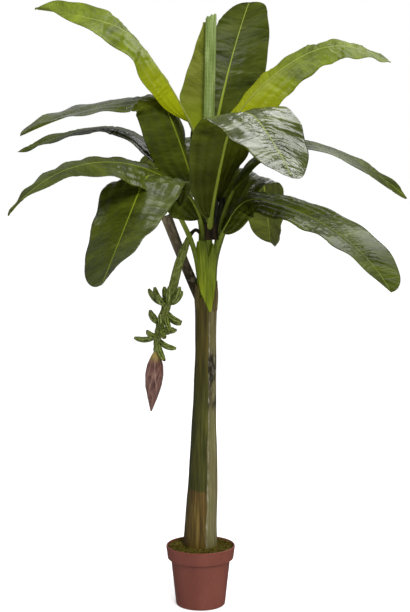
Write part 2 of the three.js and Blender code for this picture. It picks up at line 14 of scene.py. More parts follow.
import bpy
import numpy as np
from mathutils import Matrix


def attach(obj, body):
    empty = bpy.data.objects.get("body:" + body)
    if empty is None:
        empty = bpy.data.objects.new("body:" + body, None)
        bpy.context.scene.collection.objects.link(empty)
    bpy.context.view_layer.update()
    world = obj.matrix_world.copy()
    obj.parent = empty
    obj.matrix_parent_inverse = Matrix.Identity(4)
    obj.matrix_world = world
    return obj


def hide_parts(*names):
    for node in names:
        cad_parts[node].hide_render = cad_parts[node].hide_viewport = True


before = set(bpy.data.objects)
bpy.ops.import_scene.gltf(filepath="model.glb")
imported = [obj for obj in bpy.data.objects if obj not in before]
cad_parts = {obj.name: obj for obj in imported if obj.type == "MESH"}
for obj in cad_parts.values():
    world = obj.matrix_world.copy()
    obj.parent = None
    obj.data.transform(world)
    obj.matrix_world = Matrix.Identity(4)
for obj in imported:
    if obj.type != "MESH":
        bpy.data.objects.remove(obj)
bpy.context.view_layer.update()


print("Solids in the frame:", len(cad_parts))

# %% [markdown]
# ## The camera
#
# The view is a catalogue picture: the camera stands a little above the middle of the plant,
# 4.4 m in front of it, and looks slightly down, so that the moss in the pot just shows. A
# long lens keeps the leaves that reach towards the camera from looking too large. The camera
# comes before any piece, so that each piece can be judged through it.

# %% Camera
CAMERA_PLACE = (0.0157, -4.4, 1.45)
CAMERA_DIP = 4.97
CAMERA_LENS = 74.12

camera = bpy.data.objects.new("camera", bpy.data.cameras.new("camera"))
bpy.context.scene.collection.objects.link(camera)
camera.location = CAMERA_PLACE
camera.rotation_euler = (math.radians(90 - CAMERA_DIP), 0, 0)
camera.data.lens = CAMERA_LENS
bpy.context.scene.camera = camera
print("Camera looks down by", CAMERA_DIP, "degrees")

# %% [markdown]
# ## The backdrop
#
# The backdrop of a catalogue picture is white, but the glossy leaves in it are mostly dark and
# turn silver only where they mirror a lamp. So the world is white to the camera alone, and dim
# as a light. In a mirror it is darker still, but for the backdrop behind the plant, which
# glows softly above the horizon. The plain view transform keeps white paper-white.

# %% World
WHITE = (1, 1, 1, 1)
WORLD_LIGHT = 0.3
WORLD_MIRRORED = 0.1
BACKDROP_MIRRORED = 0.4
BACKDROP_FROM = (0.6, 0.95)
HORIZON = (-0.1, 0.08)


def ramped(tree, value, low, high, to_low=0.0, to_high=1.0):
    """Takes low..high of a value to to_low..to_high, each of which is a number or a socket."""
    node = tree.nodes.new("ShaderNodeMapRange")
    tree.links.new(value, node.inputs["Value"])
    node.inputs["From Min"].default_value = low
    node.inputs["From Max"].default_value = high
    for end, socket in ((to_low, "To Min"), (to_high, "To Max")):
        if isinstance(end, (int, float)):
            node.inputs[socket].default_value = end
        else:
            tree.links.new(end, node.inputs[socket])
    return node.outputs["Result"]


def studio_world():
    """White where the camera looks past the floor, dim as a source of light."""
    world = bpy.data.worlds.new("studio")
    world.use_nodes = True
    tree = world.node_tree
    path = tree.nodes.new("ShaderNodeLightPath")
    way = tree.nodes.new("ShaderNodeSeparateXYZ")
    tree.links.new(tree.nodes.new("ShaderNodeTexCoord").outputs["Generated"], way.inputs["Vector"])
    behind = ramped(tree, way.outputs["Y"], *BACKDROP_FROM, WORLD_MIRRORED, BACKDROP_MIRRORED)
    mirrored = ramped(tree, way.outputs["Z"], *HORIZON, WORLD_MIRRORED, behind)
    strength = ramped(tree, path.outputs["Is Glossy Ray"], 0, 1, WORLD_LIGHT, mirrored)
    dim = tree.nodes["Background"]
    tree.links.new(strength, dim.inputs["Strength"])
    paper = tree.nodes.new("ShaderNodeBackground")
    choice = tree.nodes.new("ShaderNodeMixShader")
    tree.links.new(path.outputs["Is Camera Ray"], choice.inputs["Fac"])
    for number, background in enumerate((dim, paper), start=1):
        background.inputs["Color"].default_value = WHITE
        tree.links.new(background.outputs["Background"], choice.inputs[number])
    tree.links.new(choice.outputs["Shader"], tree.nodes["World Output"].inputs["Surface"])
    return world


bpy.context.scene.world = studio_world()
bpy.context.scene.view_settings.view_transform = "Standard"
print("World light:", WORLD_LIGHT)

# %% [markdown]
# ## Lamps and floor
#
# A wide sun gives plant and floor their even brightness, and is hidden from reflections. One
# large softbox high behind the right side draws the silver sheen, and a second one above the
# left side a weaker one. The floor, too, is hidden from reflections, so that the undersides of
# the leaves stay dark.

# %% Lamps and floor
SUN_PLACE = (1.2, -3.4, 4.8)
SUN_LIGHT = 2.6
SUN_WIDTH = 28
SOFTBOXES = {
    "softbox_right": dict(place=(1.9, 1.7, 4.3), energy=92, size=2.8),
    "softbox_left": dict(place=(-1.6, 0.2, 4.8), energy=72, size=2.6),
}
CROWN_MIDDLE = (0, 0, 1.6)
FLOOR_SIZE = 400


def new_lamp(name, kind, place, energy):
    """A lamp that looks at the middle of the crown."""
    lamp = bpy.data.objects.new(name, bpy.data.lights.new(name, kind))
    bpy.context.scene.collection.objects.link(lamp)
    lamp.location = place
    lamp.data.energy = energy
    way = [there - here for there, here in zip(CROWN_MIDDLE, place)]
    rise = math.atan2(way[2], math.hypot(way[0], way[1]))
    lamp.rotation_euler = (math.pi / 2 + rise, 0, math.atan2(way[1], way[0]) - math.pi / 2)
    return lamp


sun = new_lamp("sun", "SUN", SUN_PLACE, SUN_LIGHT)
sun.data.angle = math.radians(SUN_WIDTH)
sun.visible_glossy = False
for name, box in SOFTBOXES.items():
    new_lamp(name, "AREA", box["place"], box["energy"]).data.size = box["size"]

bpy.ops.object.select_all(action="DESELECT")
bpy.ops.mesh.primitive_plane_add(size=FLOOR_SIZE)
floor = bpy.context.active_object
floor.name = "floor"
floor.visible_glossy = False
print("Floor", FLOOR_SIZE, "m wide")

# %% [markdown]
# ## Helpers for finishes
#
# Each surface of the plant gets its own small network of shader nodes. They all need the same
# few things: a colour that varies with a noise pattern, and a relief from bump nodes. These
# helpers keep each finish short. Colours are written as a painter would pick them, as hex
# codes, and turned into the linear light that the renderer works in.

# %% Finish helpers
MM = 0.001


def colour(code):
    """Linear colour of a hex code such as #6b6236."""
    shares = [int(code[i:i + 2], 16) / 255 for i in (1, 3, 5)]
    return [s / 12.92 if s <= 0.04045 else ((s + 0.055) / 1.055) ** 2.4 for s in shares] + [1]


def new_finish(name, roughness, specular=0.5, coat=0.0, coat_roughness=0.3):
    material = bpy.data.materials.new(name)
    material.use_nodes = True
    shader = material.node_tree.nodes["Principled BSDF"]
    shader.inputs["Roughness"].default_value = roughness
    shader.inputs["Specular IOR Level"].default_value = specular
    shader.inputs["Coat Weight"].default_value = coat
    shader.inputs["Coat Roughness"].default_value = coat_roughness
    return material, material.node_tree, shader


def noise(tree, source, scale, detail=4.0, roughness=0.55, twist=0.0, squeeze=(1, 1, 1)):
    """Noise on Object or UV coordinates. A squeeze below 1 draws it out along that axis."""
    place = tree.nodes.new("ShaderNodeTexCoord")
    mapping = tree.nodes.new("ShaderNodeMapping")
    mapping.inputs["Scale"].default_value = squeeze
    tree.links.new(place.outputs[source], mapping.inputs["Vector"])
    node = tree.nodes.new("ShaderNodeTexNoise")
    node.inputs["Scale"].default_value = scale
    node.inputs["Detail"].default_value = detail
    node.inputs["Roughness"].default_value = roughness
    node.inputs["Distortion"].default_value = twist
    tree.links.new(mapping.outputs["Vector"], node.inputs["Vector"])
    return node.outputs["Fac"]


def ramp(tree, factor, stops):
    """Colour ramp through (position, hex code) stops."""
    node = tree.nodes.new("ShaderNodeValToRGB")
    elements = node.color_ramp.elements
    while len(elements) < len(stops):
        elements.new(0.5)
    for element, (position, code) in zip(elements, stops):
        element.position = position
        element.color = colour(code)
    tree.links.new(factor, node.inputs["Fac"])
    return node.outputs["Color"]


def mixed(tree, factor, under, over):
    """Colour `over` laid on colour `under` by the factor. `over` may be a hex code."""
    node = tree.nodes.new("ShaderNodeMix")
    node.data_type = "RGBA"
    tree.links.new(factor, node.inputs["Factor"])
    below, above = [socket for socket in node.inputs if socket.type == "RGBA"]
    tree.links.new(under, below)
    if isinstance(over, str):
        above.default_value = colour(over)
    else:
        tree.links.new(over, above)
    return next(socket for socket in node.outputs if socket.type == "RGBA")


def overlaid(tree, under, over, factor, low, high, strength=1.0):
    """Lays a colour on another, from not at all at a low factor to its strength at a high one."""
    return mixed(tree, ramped(tree, factor, low, high, 0, strength), under, over)


def attribute(tree, name):
    """A value that was painted on the piece's points."""
    node = tree.nodes.new("ShaderNodeAttribute")
    node.attribute_name = name
    return node.outputs["Fac"]


def calculated(tree, way, first, second=0):
    """Result of a sum on a value and a second value or number, such as MULTIPLY."""
    node = tree.nodes.new("ShaderNodeMath")
    node.operation = way
    tree.links.new(first, node.inputs[0])
    if isinstance(second, (int, float)):
        node.inputs[1].default_value = second
    else:
        tree.links.new(second, node.inputs[1])
    return node.outputs["Value"]


def relief(tree, shader, *layers):
    """Bump layers (height, depth in millimetres, strength), each laid over the last."""
    normal = None
    for height, depth, strength in layers:
        node = tree.nodes.new("ShaderNodeBump")
        node.inputs["Distance"].default_value = depth * MM
        node.inputs["Strength"].default_value = strength
        tree.links.new(height, node.inputs["Height"])
        if normal is not None:
            tree.links.new(normal, node.inputs["Normal"])
        normal = node.outputs["Normal"]
    tree.links.new(normal, shader.inputs["Normal"])
    return normal


print("Finish helpers ready")

# %% [markdown]
# ## The floor's finish
#
# The floor is matt white paint, and glows a little, so that it stays paper-white under the
# plant and only the soft shadow round the pot shows.

# %% Floor finish
FLOOR_TINT = (0.9, 0.9, 0.9, 1)
FLOOR_GLOW = 0.4


def floor_finish():
    material, tree, shader = new_finish("floor_paint", roughness=0.7, specular=0.2)
    patches = noise(tree, "Object", scale=0.4, detail=2)
    shader.inputs["Base Color"].default_value = FLOOR_TINT
    shader.inputs["Emission Color"].default_value = FLOOR_TINT
    shader.inputs["Emission Strength"].default_value = FLOOR_GLOW
    relief(tree, shader, (patches, 0.2, 0.1))
    return material


floor.data.materials.append(floor_finish())
print("Finishes so far:", len(bpy.data.materials))

# %% [markdown]
# ## Helpers for shapes
#
# Leaves, bark and stalks are all bent skins. By hand one would start from a grid and pull its
# points with the proportional tool. Here the grid is a primitive, and a rule says where each
# of its points goes: `u` runs along the piece and `v` across or around it, both from 0 to 1.
# A skin that is wrapped round is then sewn along its seam and closed at its ends with the same
# edit-mode operators as by hand.

# %% Shape helpers
SEAM = 1e-5
SMOOTH_ANGLE = math.radians(50)


def only(piece):
    """Leaves just this piece selected and active."""
    bpy.ops.object.select_all(action="DESELECT")
    piece.select_set(True)
    bpy.context.view_layer.objects.active = piece


def paint(piece, name, values):
    """Stores one number per point, for a finish to read."""
    layer = piece.data.attributes.new(name, "FLOAT", "POINT")
    layer.data.foreach_set("value", np.asarray(values, dtype=np.float32))


def shaped_grid(name, steps_u, steps_v, shape, metric=None):
    """A grid whose point (u, v) is moved to shape(u, v), in millimetres, and keeps u and v as
    the painted values "along" and "around". metric(u, v) gives the piece's UV map, in metres,
    where a pattern follows the surface."""
    bpy.ops.object.select_all(action="DESELECT")
    bpy.ops.mesh.primitive_grid_add(x_subdivisions=steps_u, y_subdivisions=steps_v, size=1)
    piece = bpy.context.active_object
    piece.name = name
    mesh = piece.data
    places = np.empty(len(mesh.vertices) * 3)
    mesh.vertices.foreach_get("co", places)
    u, v = (places.reshape(-1, 3)[:, :2] + 0.5).clip(0, 1).T
    mesh.vertices.foreach_set("co", (shape(u, v) * MM).ravel())
    paint(piece, "along", u)
    paint(piece, "around", v)
    if metric is not None:
        corners = np.empty(len(mesh.loops), dtype=np.int32)
        mesh.loops.foreach_get("vertex_index", corners)
        mesh.uv_layers.active.data.foreach_set("uv", metric(u, v)[corners].ravel())
    mesh.update()
    return piece


def smooth(piece):
    only(piece)
    bpy.ops.object.shade_smooth_by_angle(angle=SMOOTH_ANGLE)


def sew(piece, close=True):
    """Joins a wrapped grid along its seam, and may close its ends and turn its faces out."""
    only(piece)
    bpy.ops.object.mode_set(mode="EDIT")
    bpy.ops.mesh.select_all(action="SELECT")
    bpy.ops.mesh.remove_doubles(threshold=SEAM)
    if close:
        bpy.ops.mesh.fill_holes(sides=0)
        bpy.ops.mesh.select_all(action="SELECT")
        bpy.ops.mesh.normals_make_consistent(inside=False)
    bpy.ops.object.mode_set(mode="OBJECT")
    smooth(piece)


def use_modifier(piece, kind, **settings):
    only(piece)
    modifier = piece.modifiers.new(kind.lower(), kind)
    for key, value in settings.items():
        setattr(modifier, key, value)
    bpy.ops.object.modifier_apply(modifier=modifier.name)


def dress(piece, *materials):
    piece.data.materials.clear()
    for material in materials:
        piece.data.materials.append(material)


def hand_over(piece, slot, *nodes):
    """The piece rides on the plant's body and stands for its solids. The slot is not used."""
    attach(piece, "root")
    if nodes:
        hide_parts(*nodes)
    piece.data.calc_loop_triangles()
    size = [round(side / MM) for side in piece.dimensions]
    print(f"{piece.name}: {len(piece.data.loop_triangles)} triangles, {size} mm")


print("Shape helpers ready")

# %% [markdown]
# ## Sums for shapes
#
# The rules for shapes use the same few sums again and again: a step with a soft start and end,
# a value part of the way between two others, a line through given values with rounded corners,
# a bump, waves, and points round an axis. Unevenness that is moved into a mesh comes from
# waves, and all its lengths are in millimetres.

# %% Sums for shapes
def smooth_step(x, low, high):
    share = np.clip((x - low) / (high - low), 0, 1)
    return share * share * (3 - 2 * share)


def between(ends, share):
    """Value at a share of the way from the first end to the second."""
    return ends[0] + (ends[1] - ends[0]) * share


def eased(pairs, x, reach):
    """Value at x of a line through the pairs, with its corners rounded over the reach."""
    at, values = np.array(pairs, dtype=float).T
    return sum(np.interp(x + shift, at, values) for shift in np.linspace(-reach, reach, 9)) / 9


def bump(away, breadth):
    """A round bump of height 1 where `away` is 0, that fades over the breadth."""
    return np.exp(-(away / breadth) ** 2)


def waves(depth, x, count, start=0.0):
    """Waves of a depth, which run so many times as fast as x. Round a tube x is the angle."""
    return depth * np.sin(count * x + start)


def polar(radius, angle):
    """The two coordinates of a point round a middle, as a tube's section needs them."""
    return radius * np.cos(angle), radius * np.sin(angle)


def upright(middle, radius, angle, height):
    """Points round an upright axis at x = middle."""
    x, y = polar(radius, angle)
    return np.stack([middle + x, y, height], axis=1)


print("A soft step at a quarter, half and three quarters:",
      [round(float(smooth_step(x, 0, 1)), 3) for x in (0.25, 0.5, 0.75)])

# %% [markdown]
# ## The pot
#
# The pot is a moulded plastic one in terracotta colour: a plain tapered body, a step, and an
# upright band 47 mm tall that ends in a thick round lip. A potter would turn it, and Blender
# can do the same: a disc is extruded ring by ring up the outside, over the lip and down the
# inside. A bevel then rounds each corner by the millimetre or so that a mould has.

# %% Pot
POT_SEGMENTS = 128
POT_OUTSIDE = [
    (83.5, 0), (87.5, 4), (105, 163), (116.6, 168), (117.3, 171), (122.5, 212), (120.5, 215),
]
POT_INSIDE = [(117.5, 215), (116.2, 212), (111.5, 171), (101.5, 162), (84, 5)]
POT_CORNER = 1.3
POT_CORNER_ANGLE = math.radians(20)


def turned_body(name, profile):
    """A disc extruded through rings of (radius, height), in millimetres."""
    bpy.ops.object.select_all(action="DESELECT")
    radius, height = profile[0]
    bpy.ops.mesh.primitive_circle_add(
        vertices=POT_SEGMENTS, radius=radius * MM, fill_type="NGON", location=(0, 0, height * MM))
    piece = bpy.context.active_object
    piece.name = name
    bpy.ops.object.transform_apply(location=True)
    bpy.ops.object.mode_set(mode="EDIT")
    bpy.ops.mesh.select_all(action="SELECT")
    for (before, low), (after, high) in zip(profile, profile[1:]):
        rise = (0, 0, (high - low) * MM)
        bpy.ops.mesh.extrude_region_move(TRANSFORM_OT_translate={"value": rise})
        bpy.ops.transform.resize(value=(after / before, after / before, 1))
    bpy.ops.mesh.select_all(action="SELECT")
    bpy.ops.mesh.normals_make_consistent(inside=False)
    bpy.ops.object.mode_set(mode="OBJECT")
    return piece


def terracotta_finish():
    material, tree, shader = new_finish("terracotta_plastic", roughness=0.42)
    cloudy = noise(tree, "Object", scale=9, detail=3, squeeze=(1, 1, 0.45))
    body = ramp(tree, cloudy, [(0.3, "#622f24"), (0.55, "#6d3629"), (0.75, "#763d2e")])
    dust = noise(tree, "Object", scale=160, detail=3)
    dusty = overlaid(tree, body, "#875444", dust, 0.56, 0.8, 0.35)
    tree.links.new(dusty, shader.inputs["Base Color"])
    tree.links.new(ramped(tree, cloudy, 0.3, 0.7, 0.36, 0.5), shader.inputs["Roughness"])
    relief(tree, shader, (cloudy, 0.6, 0.25), (dust, 0.15, 0.3))
    return material


pot = turned_body("pot_shell", POT_OUTSIDE + POT_INSIDE)
use_modifier(pot, "BEVEL", width=POT_CORNER * MM, segments=3, limit_method="ANGLE",
             angle_limit=POT_CORNER_ANGLE)
smooth(pot)
dress(pot, terracotta_finish())
hand_over(pot, "terracotta", "pot")

# %% [markdown]
# ## The filling and the moss bed
#
# Such pots are filled with cement so that the plant stands, and the cement is hidden under
# dried moss. Only its edge could ever be seen, so its solid stays and gets a cement finish.
# The moss lies on it as a low ring-shaped mound. The mound is a skin with lumps, whose outer
# edge is drawn down to the cement, and it closes the gaps between the loose strands.

# %% Filling and moss bed
MOSS_INNER = 57
MOSS_OUTER = 113
MOSS_FOOT = 178.4
MOSS_MOUND = [(55, 213), (75, 212), (95, 210), (113, 206)]
MOSS_EASE = 4
MOSS_LUMPS = 2.2
MOSS_EDGE_FROM = 0.9
MOSS_THICKNESS = 3


def cement_finish():
    material, tree, shader = new_finish("filling_cement", roughness=0.9, specular=0.3)
    grain = noise(tree, "Object", scale=90, detail=6)
    body = ramp(tree, grain, [(0.3, "#6f6d68"), (0.7, "#9b9892")])
    tree.links.new(body, shader.inputs["Base Color"])
    relief(tree, shader, (grain, 1.0, 0.6))
    return material


def moss_finish(name, tint, shade):
    material, tree, shader = new_finish(name, roughness=0.95, specular=0.15)
    specks = noise(tree, "Object", scale=220, detail=3)
    body = ramp(tree, specks, [(0.3, shade), (0.7, tint)])
    tree.links.new(body, shader.inputs["Base Color"])
    relief(tree, shader, (specks, 0.6, 0.5))
    return material


def moss_bed_shape(u, v):
    """Ring-shaped mound: u runs from the trunk outwards, over the edge and down."""
    on_top = u < MOSS_EDGE_FROM
    radius = np.where(on_top, between((MOSS_INNER, MOSS_OUTER), u / MOSS_EDGE_FROM), MOSS_OUTER)
    angle = 2 * np.pi * v
    across = np.sin(radius / 5 + waves(4, angle, 3))
    height = eased(MOSS_MOUND, radius, MOSS_EASE) + waves(MOSS_LUMPS, angle, 9, radius / 7) * across
    down = (u - MOSS_EDGE_FROM) / (1 - MOSS_EDGE_FROM)
    return upright(0, radius, angle, np.where(on_top, height, between((height, MOSS_FOOT), down)))


dress(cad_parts["pot_filling"], cement_finish())

moss_bed = shaped_grid("moss_bed", 40, 220, moss_bed_shape)
sew(moss_bed, close=False)
use_modifier(moss_bed, "SOLIDIFY", thickness=MOSS_THICKNESS * MM, offset=-1)
dress(moss_bed, moss_finish("moss_dark", "#4a4119", "#221c0a"))
hand_over(moss_bed, "moss", "moss")

# %% [markdown]
# ## The moss strands
#
# The moss itself is a tangle of curled strands. Strand cards would look flat from the side, so
# every strand is a real thread with three sides. It is wound by a seeded walk over the mound:
# each strand turns by its own curl at every step and arches a little off the bed.

# %% Moss strands
STRANDS = 1500
STRAND_POINTS = 8
STRAND_SIDES = 3
STRAND_LENGTH = (16, 40)
STRAND_RADIUS = (0.35, 0.85)
STRAND_TAPER = (0.12, 0.88)
STRAND_CURL = 0.55
STRAND_WANDER = 0.25
STRAND_ARCH = (1, 7)
STRAND_LIFT = 0.5
STRAND_LIMIT = 112.5
MOSS_SHADE = "#2d260f"
MOSS_TINTS = ["#3e320e", "#6b5919", "#877630", "#5b6416", "#9c8a44"]
random = np.random.default_rng(11)


def strand_lines():
    """Centre lines of the moss strands: each wanders over the mound and arches off it."""
    heading = random.uniform(0, 2 * np.pi, STRANDS)
    place = random.uniform(0, 2 * np.pi, STRANDS)
    radius = np.sqrt(random.uniform(MOSS_INNER ** 2, MOSS_OUTER ** 2, STRANDS))
    curl = random.normal(0, STRAND_CURL, STRANDS)
    arch = random.uniform(*STRAND_ARCH, STRANDS)
    step = random.uniform(*STRAND_LENGTH, STRANDS) / (STRAND_POINTS - 1)
    x, y = polar(radius, place)
    lines = []
    for share in np.linspace(0, 1, STRAND_POINTS):
        away = np.hypot(x, y)
        inside = np.clip(away, MOSS_INNER, STRAND_LIMIT) / away
        x, y = x * inside, y * inside
        height = eased(MOSS_MOUND, np.hypot(x, y), MOSS_EASE) + arch * math.sin(math.pi * share)
        lines.append(np.stack([x, y, height + STRAND_LIFT], axis=1))
        heading = heading + curl + random.normal(0, STRAND_WANDER, STRANDS)
        ahead, aside = polar(step, heading)
        x, y = x + ahead, y + aside
    return np.stack(lines, axis=1)


def unit(vectors):
    return vectors / np.linalg.norm(vectors, axis=-1, keepdims=True)


def threads(name, lines, thickness):
    """One mesh of thin threads along the lines, and the number of the thread of each face."""
    count, points, _ = lines.shape
    sides = STRAND_SIDES
    ahead = unit(np.gradient(lines, axis=1))
    across = unit(np.cross(ahead, [0.0, 0.0, 1.0]) + 1e-6)
    up = np.cross(across, ahead)
    taper = np.sin(np.linspace(*STRAND_TAPER, points) * np.pi) ** 0.5
    rings = []
    for side in range(sides):
        push_across, push_up = polar(1, 2 * math.pi * side / sides)
        push = across * push_across + up * push_up
        rings.append(lines + push * thickness[:, None, None] * taper[None, :, None])
    places = np.stack(rings, axis=2).reshape(-1, 3) * MM
    walls = []
    for foot in range(0, (points - 1) * sides, sides):
        for side in range(sides):
            after = (side + 1) % sides
            walls.append([foot + side, foot + after, foot + sides + after, foot + sides + side])
    size = points * sides
    ends = [list(range(sides))[::-1], list(range(size - sides, size))]
    faces = []
    owners = []
    for kind in (walls, ends):
        shifted = np.array(kind)[None] + size * np.arange(count)[:, None, None]
        faces += shifted.reshape(-1, len(kind[0])).tolist()
        owners.append(np.repeat(np.arange(count), len(kind)))
    mesh = bpy.data.meshes.new(name)
    mesh.from_pydata(places.tolist(), [], faces)
    piece = bpy.data.objects.new(name, mesh)
    bpy.context.scene.collection.objects.link(piece)
    return piece, np.concatenate(owners)


lines = strand_lines()
moss_strands, strand_of_face = threads("moss_strands", lines, random.uniform(*STRAND_RADIUS, STRANDS))
tints = [moss_finish(f"moss_{number}", tint, MOSS_SHADE) for number, tint in enumerate(MOSS_TINTS)]
dress(moss_strands, *tints)
tint_of_face = random.integers(0, len(tints), STRANDS)[strand_of_face].astype(np.int32)
moss_strands.data.polygons.foreach_set("material_index", tint_of_face)
hand_over(moss_strands, "moss")

# %% [markdown]
# ## The trunk
#
# A banana has no wood. Its stem is made of leaf sheaths wrapped round each other, and the
# artificial one copies that with three long sheets. Each sheet's edge shows as a low step that
# runs the whole height. The front left sheet is olive, yellow-brown below a joint near the
# foot, and the strip on its right is a mottled grey-green. A bump map alone would leave the
# outline a clean cone, so the steps, the joint and the fibres are moved into the mesh itself.

# %% Trunk shape
TRUNK_FOOT = 178.3
TRUNK_TOP = 1100
TRUNK_LEAN = [(178, -1), (270, 0), (480, 10), (690, 14), (910, 19), (1100, 20)]
TRUNK_RADIUS = [(178, 62), (270, 57.5), (480, 50.5), (690, 41), (910, 36), (1020, 36.5), (1100, 39)]
TRUNK_SEAM = 90
SHEET_STEP = 2.6
SHEET_REACH = 150
SHEET_EDGES = [(-73, -76), (62, 50), (168, 180)]
SHEET_WANDER = 1.6
LIP_HEIGHT = 0.7
LIP_BREADTH = 3
JOINT_HEIGHT = 416
JOINT_STEP = 1.0
FIBRE_DEPTH = 0.3
DENT_DEPTH = 0.7


def trunk_centre(height):
    return eased(TRUNK_LEAN, height, 40)


def trunk_radius(height):
    return eased(TRUNK_RADIUS, height, 30)


def sheet_edge(edge, height):
    """Heading of a sheet's edge, which wanders a little on its way up."""
    foot, top = edge
    share = (height - TRUNK_FOOT) / (TRUNK_TOP - TRUNK_FOOT)
    wander = np.sin(height / 61 + foot) + 0.6 * np.sin(height / 23 + 2 * foot)
    return between((foot, top), share) + SHEET_WANDER * wander


def sheet_at(angle, height):
    """For each point: which sheet is outermost, and how many degrees past its edge it lies."""
    past = np.stack([(sheet_edge(edge, height) - angle) % 360 for edge in SHEET_EDGES])
    return past.argmin(axis=0), past.min(axis=0)


def above_joint(angle, height, blur):
    """0 below the wavy joint near the foot, 1 above it."""
    turn = np.radians(angle)
    line = JOINT_HEIGHT + waves(4, turn, 2) + waves(1.5, turn, 11)
    return smooth_step(height, line - blur, line + blur)


def trunk_shape(u, v):
    height = between((TRUNK_FOOT, TRUNK_TOP), u)
    angle = TRUNK_SEAM + 360 * v
    turn = np.radians(angle)
    owner, past = sheet_at(angle, height)
    step = SHEET_STEP * (1 - np.clip(past / SHEET_REACH, 0, 1)) ** 1.5 - SHEET_STEP / 2
    joint = JOINT_STEP * above_joint(angle, height, 1.5) * (owner == 0)
    fibres = waves(FIBRE_DEPTH, turn, 41, 2 * np.sin(height / 57)) * waves(1, turn, 17, 1)
    dents = waves(DENT_DEPTH, turn, 3, height / 37) * waves(1, turn, 2, height / 83)
    radius = trunk_radius(height) + step + LIP_HEIGHT * bump(past, LIP_BREADTH) + joint + fibres + dents
    return upright(trunk_centre(height), radius, turn, height)


trunk = shaped_grid("trunk_bark", 230, 200, trunk_shape)
sew(trunk)
print("Trunk from", TRUNK_FOOT, "to", TRUNK_TOP, "mm")

# %% [markdown]
# ## The paint of the trunk
#
# Each sheet is painted in its own colours, and the seams are dark. A finish can't know which
# sheet it is on, so six values are painted on the points first: where the skin is green or
# mottled, where painted shade darkens the front sheet towards its left side, away from the
# light, where the strip on the right turns black and flecked, where a painted highlight runs
# as a silver line beside the front edge, and how near a seam is. Towards the crown both sheets
# turn brown.

# %% Trunk paint
BROWN_SHARE = 0.5
BROWN_FROM = (720, 960)
BLACK_FROM = (690, 730)
BLACK_TO = (880, 960)
# Painted shade on the front sheet, away from the light: its strength, and the degrees past the edge over
# which it grows.
PAINTED_SHADE = 0.45
PAINTED_SHADE_PAST = (10, 105)
# Painted highlight: a silver line on the right sheet, just past the front sheet's edge.
HIGHLIGHT = 0.65
HIGHLIGHT_PAST = 5
HIGHLIGHT_BREADTH = 4
SEAM_SHADE = 0.85
SEAM_BREADTH = 1.2
JOINT_BLUR = 2


def points_of(piece):
    """The places of a piece's points, in millimetres."""
    return np.array([vertex.co[:] for vertex in piece.data.vertices]) / MM


def paint_trunk(piece):
    """Tells the finish, point by point, which sheet it is on and how near a seam."""
    x, y, height = points_of(piece).T
    angle = np.degrees(np.arctan2(y, x - trunk_centre(height)))
    owner, past = sheet_at(angle, height)
    browned = BROWN_SHARE * smooth_step(height, *BROWN_FROM)
    green = above_joint(angle, height, JOINT_BLUR) * (1 - browned)
    black = smooth_step(height, *BLACK_FROM) * (1 - smooth_step(height, *BLACK_TO))
    before = np.stack([(angle - sheet_edge(edge, height)) % 360 for edge in SHEET_EDGES])
    paint(piece, "green", np.where(owner == 0, green, 0.6 - 0.5 * browned))
    # Painted shade: the front sheet grows darker towards its left side, away from the light.
    paint(piece, "painted_shade", np.where(owner == 0, PAINTED_SHADE * smooth_step(past, *PAINTED_SHADE_PAST), 0))
    paint(piece, "mottled", np.where(owner == 1, 0.9 - 0.5 * browned, 0))
    paint(piece, "black", np.where(owner == 1, black, 0))
    # Painted highlight beside the front sheet's edge.
    paint(piece, "silver", HIGHLIGHT * bump(before[0] - HIGHLIGHT_PAST, HIGHLIGHT_BREADTH))
    paint(piece, "seam", SEAM_SHADE * bump(before.min(axis=0), SEAM_BREADTH))


def trunk_finish():
    material, tree, shader = new_finish("trunk_sheets", roughness=0.5, specular=0.4)
    along = noise(tree, "Object", 150, 5, squeeze=(1, 1, 0.035))
    patches = noise(tree, "Object", 26, 4, 0.6, squeeze=(1, 1, 0.35))
    flecks = noise(tree, "Object", 130, 4, 0.65, squeeze=(1, 1, 0.3))
    brown = ramp(tree, along, [(0.28, "#33260b"), (0.5, "#544212"), (0.72, "#735f28")])
    brown = overlaid(tree, brown, "#5c3f18", patches, 0.5, 0.75, 0.55)
    green = ramp(tree, along, [(0.3, "#2b2d09"), (0.52, "#40400f"), (0.75, "#54531e")])
    green = overlaid(tree, green, "#2c3409", patches, 0.45, 0.75, 0.5)
    mottled = ramp(tree, along, [(0.3, "#514d2c"), (0.52, "#6a6440"), (0.75, "#857f60")])
    mottled = overlaid(tree, mottled, "#5a5f2c", patches, 0.5, 0.7, 0.6)
    black = ramp(tree, flecks, [(0.35, "#16140d"), (0.55, "#34301f"), (0.68, "#8d8774")])
    # Colours of the painted highlight beside the front edge.
    silver = ramp(tree, flecks, [(0.35, "#5c573c"), (0.55, "#7f7a63"), (0.7, "#aca794")])
    sheet = mixed(tree, attribute(tree, "green"), brown, green)
    # Painted shade, darker towards the front sheet's left side.
    sheet = mixed(tree, attribute(tree, "painted_shade"), sheet, "#1f1b0a")
    sheet = mixed(tree, attribute(tree, "mottled"), sheet, mottled)
    # The black patch, and the painted highlight beside the front edge, each broken up by noise.
    for name, pattern, low, high, over in (("black", patches, 0.35, 0.5, black),
                                           ("silver", flecks, 0.42, 0.56, silver)):
        broken = calculated(tree, "MULTIPLY", attribute(tree, name), ramped(tree, pattern, low, high))
        sheet = mixed(tree, broken, sheet, over)
    sheet = mixed(tree, attribute(tree, "seam"), sheet, "#171208")
    tree.links.new(sheet, shader.inputs["Base Color"])
    tree.links.new(ramped(tree, patches, 0.3, 0.7, 0.36, 0.58), shader.inputs["Roughness"])
    relief(tree, shader, (along, 1.2, 0.6), (patches, 1.5, 0.3), (flecks, 0.5, 0.4))
    return material


paint_trunk(trunk)
dress(trunk, trunk_finish())
hand_over(trunk, "trunk_sheath", "trunk")

